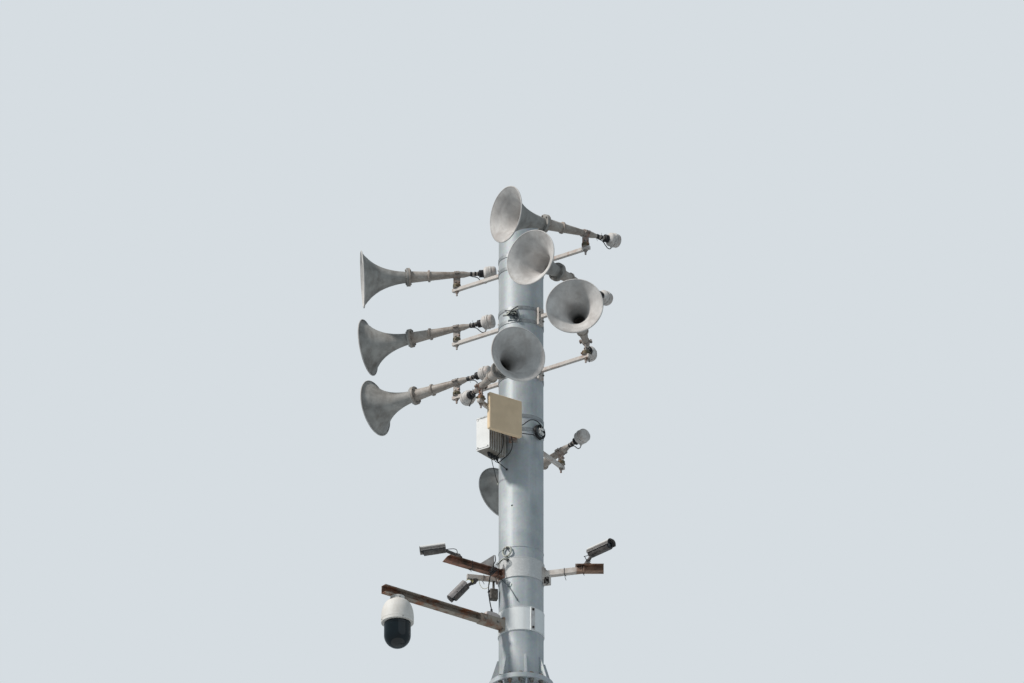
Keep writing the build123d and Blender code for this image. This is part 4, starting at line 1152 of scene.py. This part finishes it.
def make_cameras():
    """The three bullet cameras and the small box camera."""
    for name, shield, sway, lead in (
        ("camera_left", "shield", 1, (0.006, "cable")),
        ("camera_middle", "camera", 1, (0.004, "yellow_cable")),
        ("camera_right", "shield", -1, (0.006, "cable")),
    ):
        upward, (azimuth, reach, height), length, aim = CAMERAS[name]
        foot = Vector(joints[name + "_pan"]["pos_m"]) + rise(upward * SEAT_GAP)
        forward = lean(*aim)
        place = facing(foot + polar(azimuth, reach, upward * height), forward)
        make_camera_body(name, foot, upward, place, length)
        make_camera_shield(name, place, length, shield)
        make_camera_lens(name, place, forward, length)
        make_camera_lead(name, foot, upward, place, forward, sway, *lead)

    middle = node_center("camera_small")
    low = heights("camera_small")[0]
    front = off_mast(MIDDLE_ARM, SMALL_CAMERA_REACH, low + 0.046)
    trim = Shape()
    trim.rod(front, 0.020, -0.002, 0.006, 32)
    trim.box((-0.026, 0.026, -0.070), (0.026, 0.034, 0.012), front, 0.002)
    trim.rod(facing((middle.x, middle.y, low + 0.092), (0, 0, 1), (1, 0, 0)), 0.016, -0.002, 0.012, 24)
    trim.piece("small_camera_trim", "root", "camera_shell", "camera")
    glass = Shape()
    glass.rod(front, 0.0145, 0.004, 0.0075, 32)
    glass.piece("small_camera_lens", "root", "camera_shell", "lens", angle=50)


# ---- dome camera ----
def make_dome():
    """Smooth white cap with seams and screws, and the glossy dark ball below it."""
    x, y, _ = joints["dome_pan"]["pos_m"]
    foot, top = heights("dome_housing")
    tall = top - foot
    neck = tall - DOME_NECK
    quarter = math.pi / 2
    rows = [(0.0, 0.010)]
    rows += [(x, DOME_RADIUS - depth) for x, depth in (
        (0.0, 0.004), (0.002, 0.001), (0.010, 0.0), (0.024, 0.0), (0.0245, 0.0018), (0.0265, 0.0018),
        (0.027, 0.0))]
    for step in range(15):
        turn = quarter * step / 14
        reach = DOME_NECK_RADIUS + (DOME_RADIUS - DOME_NECK_RADIUS) * math.cos(turn)
        rows.append((neck - DOME_SHOULDER * (1 - math.sin(turn)), reach))
    rows += [(x, DOME_NECK_RADIUS - depth) for x, depth in (
        (neck + 0.004, 0.0), (neck + 0.012, 0.002), (tall - 0.010, 0.002), (tall - 0.009, 0.0), (tall, 0.0))]
    rows.append((tall, 0.010))
    cap = Shape()
    cap.lathe(rows, upright((x, y, foot)), 96)
    cap.piece("dome_cap", "root", "dome_housing", "dome_cap", "dome_housing", angle=30)

    screws = Shape()
    for turn in (20, 110, 200, 290):
        for reach, height, across, head in (
            (DOME_RADIUS - 0.0005, foot + 0.014, 0.008, 0.003),
            (DOME_NECK_RADIUS - 0.001, top - 0.020, 0.009, 0.004),
        ):
            screws.bolt(facing(Vector((x, y, 0)) + polar(turn, reach, height), polar(turn)), across, head)
    screws.piece("dome_screws", "root", "dome_housing", "bolt")

    base, top = heights("dome_ball")
    tall = top - base
    turns = [quarter * step / 24 for step in range(25)]
    rows = [(BALL_RADIUS * (1 - math.cos(turn)), max(BALL_RADIUS * math.sin(turn), 0.0006)) for turn in turns]
    rows += [(tall - down, BALL_RADIUS - depth) for down, depth in (
        (0.030, 0.0), (0.029, 0.0015), (0.027, 0.0015), (0.026, 0.0), (0.002, 0.0), (0.0, 0.002))]
    rows.append((tall, 0.010))
    ball = Shape()
    ball.lathe(rows, upright((x, y, base)), 96)
    ball.piece("dome_globe", "dome_ball", "dome_glass", "dome_ball", "dome_ball", angle=35)


# ---- antenna, radio box and coils ----
def make_panel_fittings():
    """Edge lip, rear ribs, bolts and plugs of the flat antenna."""
    normal = polar(PANEL_AZIMUTH)
    middle = Vector((*PANEL_CENTER, middle_height("panel_antenna")))
    front = facing(middle, normal)
    half = PANEL_SIZE / 2
    tall = PANEL_HEIGHT / 2
    lip = Shape()
    lip.frame(front, half - 0.007, tall - 0.007, -0.0064, 0.0022)
    lip.piece("panel_lip", "root", "panel_cover", "panel_edge", angle=50)
    ribs = Shape()
    bar = 0.010
    back = -PANEL_THICK
    for x in (-half * 0.6, half * 0.6):
        ribs.box((x - bar, -tall + 0.03, back - 0.006), (x + bar, tall - 0.03, back), front, 0.002)
    for y in (-tall * 0.75, tall * 0.75):
        ribs.box((-half * 0.6, y - bar, back - 0.005), (half * 0.6, y + bar, back), front, 0.002)
    ribs.piece("panel_ribs", "root", "panel_cover", "panel")
    plate = facing(middle - normal * (PANEL_THICK + PANEL_PLATE), -normal)
    plate.translation.z = middle_height("panel_arm")
    bolts = Shape()
    for x in (-0.052, 0.052):
        for y in (-0.052, 0.052):
            bolts.bolt(moved(plate, x, y, 0), 0.013, 0.007)
    for y in PANEL_PLUGS:
        socket = front @ Vector((half - 0.030, y, -PANEL_THICK))
        bolts.rod(facing(socket, -normal), 0.011, 0.0, 0.024, 20)
        bolts.rod(facing(socket - normal * PLUG_STAND, polar(PANEL_AZIMUTH + 90)), 0.008, 0.0, 0.030, 20)
    bolts.piece("panel_fasteners", "root", "bracket_steel", "shiny")


def box_point(x, y, up):
    """Point of the radio box, along its depth, across its width and up from its bottom corner."""
    corner = Vector((*BOX_CORNER, heights("radio_box")[0]))
    return corner + polar(BOX_TURN) * x + polar(BOX_TURN + 90) * y + rise(up)


def make_box_fittings():
    """Lid seam, lid screws, hinges and the glands of the radio box."""
    low, high = heights("radio_box")
    height = high - low
    skin = 0.0006
    seams = Shape()
    for up in (0.012, height - 0.012):
        path = ((-skin, 0.006), (-skin, BOX_WIDTH + skin), (BOX_LID, BOX_WIDTH + skin))
        seams.tube([box_point(x, y, up) for x, y in path], 0.0014, 6)
    seams.tube([box_point(BOX_LID, BOX_WIDTH + skin, up) for up in (0.006, height - 0.006)], 0.0016, 6)
    seams.piece("box_seams", "root", "box_paint", "camera_dark", angle=60)
    screws = Shape()
    for up in (0.022, height - 0.022):
        for y in (0.018, BOX_WIDTH - 0.016):
            screws.bolt(facing(box_point(0, y, up), -polar(BOX_TURN)), 0.010, 0.004)
        hinge = facing(box_point(0.035, BOX_WIDTH, up), polar(BOX_TURN + 90))
        screws.box((-0.016, -0.012, 0.0), (0.016, 0.012, 0.006), hinge, 0.0015)
    screws.piece("box_screws", "root", "box_paint", "shiny")
    glands = Shape()
    for x in GLAND_SPOTS:
        place = hanging(box_point(x, BOX_WIDTH / 2, 0))
        glands.hex_head(place, 0.028, 0.010)
        glands.rod(place, 0.011, 0.008, 0.024, 20)
        glands.hex_head(moved(place, 0, 0, 0.020), 0.022, 0.012)
    glands.piece("box_glands", "root", "black_cable", "camera_dark")


def make_coil(name, finish):
    """A coil of cable: turns in two layers, wound one beside the other by a loop."""
    node, azimuth, radius, diameter, _ = COILS[name]
    center = node_center(node)
    outward = polar(azimuth)
    side = polar(azimuth + 90)
    points = []
    per_turn = 16
    for step in range(COIL_TURNS * per_turn + 1):
        turns = step / per_turn
        angle = 2 * math.pi * turns + math.pi / 2
        lane = turns if turns <= COIL_TURNS / 2 else COIL_TURNS - turns
        layer = min(max(turns - COIL_TURNS / 2 + 0.5, 0.0), 1.0)
        reach = radius + (layer - 0.5) * diameter * 1.25
        shift = (lane - COIL_TURNS / 4) * diameter * 1.15
        turned = side * reach * math.cos(angle) + rise(reach * math.sin(angle))
        points.append(center + outward * shift + turned)
    cable(name, points, diameter, finish, replaced=(node,))


def make_coils():
    """Both cable coils with their ties, and the fitting in the black one, painted white for the glint of its
    metal.
    """
    make_coil("black_coil_cable", "cable")
    make_coil("pale_coil_cable", "pale_cable")
    ties = Shape()
    for node, azimuth, radius, _, tie in COILS.values():
        side = polar(azimuth + 90)
        for turn in (35, 155, 275):
            angle = math.radians(turn)
            spot = node_center(node) + side * radius * math.cos(angle) + rise(radius * math.sin(angle))
            tangent = side * -math.sin(angle) + rise(math.cos(angle))
            ties.hoop(facing(spot, tangent, polar(azimuth)), tie, 0.0016, 24, 6)
    ties.piece("coil_ties", "root", "black_cable", "tape", angle=60)

    middle = node_center("cable_coil") + polar(BLACK_COIL) * 0.018
    fitting = Shape()
    for up, tilt, half in ((0.016, 0.35, 0.030), (-0.016, -0.25, 0.026)):
        place = facing(middle + rise(up), polar(BLACK_COIL + 90, 1, tilt))
        fitting.rod(place, 0.010, -half, half, 24)
        fitting.rod(place, 0.0140, -half - 0.003, -half + 0.016, 24)
        fitting.rod(place, 0.0130, half - 0.016, half + 0.002, 24)
        fitting.hex_head(moved(place, 0, 0, -0.006), 0.028, 0.012)
    fitting.piece("coil_fitting", "root", "bracket_steel", "bright")


# ---- loose cables ----
def routed(height, spots):
    """Points given by their place and by how far they lie above a height."""
    return [Vector((x, y, height + up)) for x, y, up in spots]


def make_antenna_cables():
    """The two cables from the plugs behind the flat antenna to the black coil."""
    front = facing((*PANEL_CENTER, node_center("panel_antenna").z), polar(PANEL_AZIMUTH))
    coil = node_center("cable_coil")
    low, high = (front @ Vector((PANEL_SIZE / 2, y, -PANEL_THICK - PLUG_STAND)) for y in PANEL_PLUGS)
    onward = polar(PANEL_AZIMUTH + 90, 0.036, 0.003)
    cable("antenna_cable_1", [
        low, low + onward, *routed(coil.z, ((0.060, -0.290, -0.090), (0.105, -0.225, -0.066))),
        coil + Vector((-0.026, -0.034, -0.056)), coil + polar(BLACK_COIL, 0.016, -0.060),
    ], 0.008)
    cable("antenna_cable_2", [
        high, high + onward,
        *routed(coil.z, ((0.044, -0.308, 0.014), (0.080, -0.268, 0.056), (0.118, -0.216, 0.076))),
        coil + Vector((-0.010, -0.038, 0.074)), coil + polar(BLACK_COIL, 0.016, 0.056),
    ], 0.009)


def make_box_cables():
    """The loops from the radio box up behind the antenna, and its two cables to the mast."""
    corner = Vector((*BOX_CORNER, heights("radio_box")[0]))
    across = polar(BOX_TURN + 90, BOX_WIDTH / 2, -GLAND_LENGTH)
    inner, down, short, outer = (corner + polar(BOX_TURN, x) + across for x in GLAND_SPOTS)
    cable("box_loop_inner", [inner, inner + Vector((0.004, -0.002, -0.034)), *routed(inner.z, (
        (-0.205, -0.262, -0.008), (-0.166, -0.300, 0.020), (-0.150, -0.350, 0.066), (-0.156, -0.440, 0.116),
        (-0.158, -0.484, 0.148)))], 0.009)
    cable("box_loop_outer", [outer, outer + Vector((0.006, -0.010, -0.040)), *routed(outer.z, (
        (-0.150, -0.236, -0.016), (-0.098, -0.280, 0.006), (-0.070, -0.340, 0.056), (-0.080, -0.405, 0.104),
        (-0.086, -0.431, 0.148)))], 0.009)
    entry = polar(BOX_ENTRY, POLE_RADIUS + 0.003, down.z - 0.146)
    cable("box_cable_down", [down, down + Vector((0.001, 0.002, -0.034)), *routed(down.z, (
        (-0.240, -0.205, -0.060), (-0.226, -0.150, -0.088), (-0.212, -0.060, -0.126))), entry], 0.006)
    spot = polar(SHORT_ENTRY, POLE_RADIUS + 0.004, short.z - 0.078)
    cable("box_cable_short", [short, short + Vector((0.001, -0.002, -0.028)), *routed(short.z, (
        (-0.190, -0.192, -0.036), (-0.156, -0.176, -0.058))), spot], 0.007)
    sleeve = Shape()
    sleeve.rod(off_mast(BOX_ENTRY, POLE_RADIUS - 0.001, entry.z), 0.011, 0.0, 0.014, 20)
    sleeve.piece("cable_entry_pale", "root", "pale_cable", "pale_cable")
    sleeves = Shape()
    sleeves.rod(off_mast(SHORT_ENTRY, POLE_RADIUS - 0.001, spot.z), 0.010, 0.0, 0.008, 20)
    sleeves.rod(off_mast(BUNDLE_AZIMUTH, BAND_RADIUS - 0.001, BUNDLE_HEIGHT), 0.013, 0.0, 0.014, 24)
    sleeves.piece("cable_entries_dark", "root", "black_cable", "camera_dark")


def make_arm_bundle(rng, arm_top, side):
    """Six thin cables from their sleeve on the mast to the root of the left arm."""
    for index in range(6):
        finish = "cable" if index in (1, 4) else "pale_cable"
        azimuth = BUNDLE_AZIMUTH + 2.4 * (index - 2.5)
        start = polar(azimuth, BAND_RADIUS + 0.010, BUNDLE_HEIGHT - 0.004 * (index % 2))
        end = polar(LEFT_ARM, 0.234 + 0.009 * index, arm_top + 0.003) + side * (0.012 - 0.005 * (index % 3))
        out = polar(BUNDLE_AZIMUTH, 0.030 + 0.007 * (index % 3), 0.008)
        middle = start.lerp(end, 0.55) + polar(225, 0.024, 0.012 + rng.uniform(-0.012, 0.012))
        cable(f"arm_bundle_{index + 1}", [start, start + out, middle, end + rise(0.030), end], 0.0052, finish)


def make_drop_cable(gusset_top, side):
    """The cable that hangs from the gusset to a plug over the dome arm's sleeve, and its splice case."""
    top = polar(LEFT_ARM, 0.276, gusset_top - 0.004) + side * 0.006
    sleeve = polar(DOME_ARM, 0.312, heights("dome_arm")[1] - 0.020)
    points = [top, top + side * 0.010 + rise(-0.030), top + side * 0.022 + Vector((-0.008, 0, -0.066))]
    for reach, drop, off in (
        (0.312, 0.110, 0.036), (0.334, 0.180, 0.036), (0.350, 0.260, 0.030), (0.356, 0.350, 0.022),
    ):
        points.append(polar(LEFT_ARM, reach, gusset_top - drop) + side * off)
    points += [sleeve + Vector((-0.014, -0.012, 0.130)), sleeve + rise(0.072)]
    plug = Shape()
    plug.rod(Matrix.Translation(sleeve), 0.0095, 0.040, 0.078, 20)
    plug.rod(Matrix.Translation(sleeve), 0.0125, 0.040, 0.058, 20)
    plug = plug.piece("drop_cable_plug", "root", "black_cable", "cable")
    cable("drop_cable", points, 0.009)

    outline = [(-0.085, 0.0), (0.075, 0.0), (0.062, 0.036), (0.030, 0.044), (-0.040, 0.044), (-0.074, 0.030)]
    inset = [(x * 0.97, y * 0.95) for x, y in outline]
    splice = Shape()
    splice.loft([(-0.024, inset), (-0.021, outline), (0.021, outline), (0.024, inset)],
                facing(sleeve, polar(DOME_ARM - 90)))
    splice.piece("sleeve_splice_case", "root", "arm_paint", "gusset", angle=35)


def make_arm_knot(rng, arm_top, side):
    """Knot of cables below the left arm's root."""
    knot = Shape()
    for index in range(5):
        spot = polar(LEFT_ARM, 0.306 + 0.010 * index, arm_top - 0.012 - 0.012 * index)
        out = rng.uniform(0.004, 0.012)
        knot.tube(smooth_path([spot + side * off + Vector((x, 0, up)) for off, x, up in (
            (0.026 + out, -0.012, 0.016), (0.034 + out, 0.0, 0.0), (0.040 + out, 0.014, -0.010),
            (0.030 + out, 0.020, -0.026), (0.030, 0.002, -0.030), (0.036 + out, -0.016, -0.014))]), 0.0038)
    knot.piece("arm_cable_knot", "root", "black_cable", "cable", angle=60)


def make_grey_tail():
    """The stiff grey cable end that stands off the mast below the upper band, with its boot and tie."""
    band_low = heights("camera_band")[0]
    points = [polar(azimuth, reach, band_low + up) for azimuth, reach, up in (
        (207, 0.2010, 0.022), (213, 0.2030, 0.004), (221, 0.1985, -0.022), (230, 0.1965, -0.054),
        (238.6, 0.1970, -0.086), (246, 0.1965, -0.130), (253, 0.1960, -0.174), (259, 0.1965, -0.212))]
    boot = Shape()
    boot.rod(facing(points[-1], (points[-1] - points[-2]).normalized()), 0.0055, -0.022, 0.016)
    boot = boot.piece("grey_tail_boot", "root", "black_cable", "grey_cable")
    cable("grey_tail", points, 0.0075, "grey_cable")
    knot = Shape()
    spot = points[4]
    knot.hoop(facing(spot, points[5] - points[3]), 0.0062, 0.0024, 24, 8)
    knot.tube([spot, spot + Vector((0.004, -0.010, 0.018)), spot + Vector((0.012, -0.012, 0.034))], 0.003)
    knot.tube([spot, spot + Vector((-0.014, -0.010, 0.006)), spot + Vector((-0.022, -0.008, 0.022))], 0.003)
    knot.piece("grey_tail_knot", "root", "black_cable", "grey_cable", angle=50)


def make_arm_cables():
    """The bundle, the drop cable, the knot, the yellow loop and the grey tail about the camera arms."""
    rng = random.Random(21)
    side = polar(LEFT_ARM + 90)
    gusset_top = heights("camera_arm_left")[1]
    arm_top = gusset_top - GUSSET_HEIGHT
    make_arm_bundle(rng, arm_top, side)
    make_drop_cable(gusset_top, side)
    make_arm_knot(rng, arm_top, side)
    under = heights("camera_arm_middle")[1] - 0.049
    loop = [polar(MIDDLE_ARM + 2.0, reach, under + up) for reach, up in (
        (0.370, -0.001), (0.368, -0.030), (0.352, -0.070), (0.322, -0.086), (0.290, -0.066),
        (0.276, -0.030), (0.274, -0.001))]
    cable("yellow_loop", loop, 0.004, "yellow_cable")
    make_grey_tail()


make_horns()
make_mast_fittings()
make_band_fittings()
make_strap_buckles()
make_cable_clamp()
make_arm_fittings()
make_cameras()
make_dome()
make_panel_fittings()
make_box_fittings()
make_coils()
make_antenna_cables()
make_box_cables()
make_arm_cables()

# ---- finishes of the carried-over nodes ----
NODE_FINISHES = {
    "mast": ("base_flange", "pole_lower", "pole_upper", "pole_cap", "joint_flange_lower",
             "joint_flange_upper"),
    "arm": ("horn_arms", "camera_arm_middle"),
    "strap": ("arm_straps",),
    "band": ("camera_band",),
    "dome_band": ("dome_band",),
    "left_arm": ("camera_arm_left",),
    "right_arm": ("camera_arm_right",),
    "camera_olive": ("camera_small",),
    "camera": ("camera_left", "camera_middle", "camera_right"),
    "rusty": ("dome_arm",),
    "dome_cap": ("dome_housing",),
    "dome_ball": ("dome_ball",),
    "panel": ("panel_antenna",),
    "box": ("radio_box",),
    "bracket": ("panel_arm", "radio_box_bracket", *("bracket_" + name for name in HORNS)),
    "tube": ["tube_" + name for name in HORNS],
    "cable": ("cable_coil",),
    "pale_cable": ("pale_coil",),
    "shiny": ("coil_hook",),
    "bolt": ("pale_coil_hook",),
}
for finish, names in NODE_FINISHES.items():
    for name in names:
        frame["nodes"][name].data.materials.clear()
        frame["nodes"][name].data.materials.append(MAT[finish])


# ---- stage, light and camera ----
def make_stage():
    """A pale round floor and an even pale surround."""
    shape = Shape()
    shape.lathe([(-0.02, 9.0), (0.0, 9.0)], upright((0, 0, 0)), 96)
    floor = shape.made("floor", 30)
    look = Finish("floor_pale")
    color = look.blend(look.noise(look.mapped(), 3.0), 0.3, 0.7, (206, 208, 208), (216, 218, 218))
    look.tree.links.new(color, look.shader.inputs["Base Color"])
    look.shader.inputs["Roughness"].default_value = 0.9
    floor.data.materials.append(look.material)

    world = bpy.data.worlds.new("studio")
    bpy.context.scene.world = world
    world.use_nodes = True
    tree = world.node_tree
    sky = tree.nodes["Background"]
    sky.inputs["Color"].default_value = (0.76, 0.88, 0.96, 1.0)
    sky.inputs["Strength"].default_value = 0.38
    shown = tree.nodes.new("ShaderNodeBackground")
    shown.inputs["Color"].default_value = srgb(214, 221, 226)
    path = tree.nodes.new("ShaderNodeLightPath")
    mix = tree.nodes.new("ShaderNodeMixShader")
    tree.links.new(path.outputs["Is Camera Ray"], mix.inputs[0])
    tree.links.new(sky.outputs[0], mix.inputs[1])
    tree.links.new(shown.outputs[0], mix.inputs[2])
    tree.links.new(mix.outputs[0], tree.nodes["World Output"].inputs["Surface"])


def add_sun(name, azimuth, height, strength, angle, color):
    """A soft distant lamp that shines from an azimuth and a height in degrees."""
    lamp = bpy.data.lights.new(name, "SUN")
    lamp.energy = strength
    lamp.angle = math.radians(angle)
    lamp.color = color
    holder = bpy.data.objects.new(name, lamp)
    bpy.context.scene.collection.objects.link(holder)
    holder.rotation_euler = lean(azimuth, -height).to_track_quat("Z", "Y").to_euler()


def make_camera():
    """Camera far off, low and in front, looking up at the head of the mast."""
    distance = 150.0
    camera = bpy.data.cameras.new("camera")
    camera.sensor_width = 36.0
    camera.lens = 620.4
    camera.clip_end = 400.0
    holder = bpy.data.objects.new("camera", camera)
    bpy.context.scene.collection.objects.link(holder)
    view = lean(90, -25.0)
    holder.location = Vector((-0.077, 0.0, 10.812)) - view * distance
    holder.rotation_euler = view.to_track_quat("-Z", "Y").to_euler()
    bpy.context.scene.camera = holder


make_stage()
add_sun("key", 207, 40, 3.05, 6.0, (1.0, 0.965, 0.92))
add_sun("fill", -50, 20, 0.22, 60.0, (0.86, 0.94, 1.0))
make_camera()
bpy.context.scene.view_settings.view_transform = "Standard"
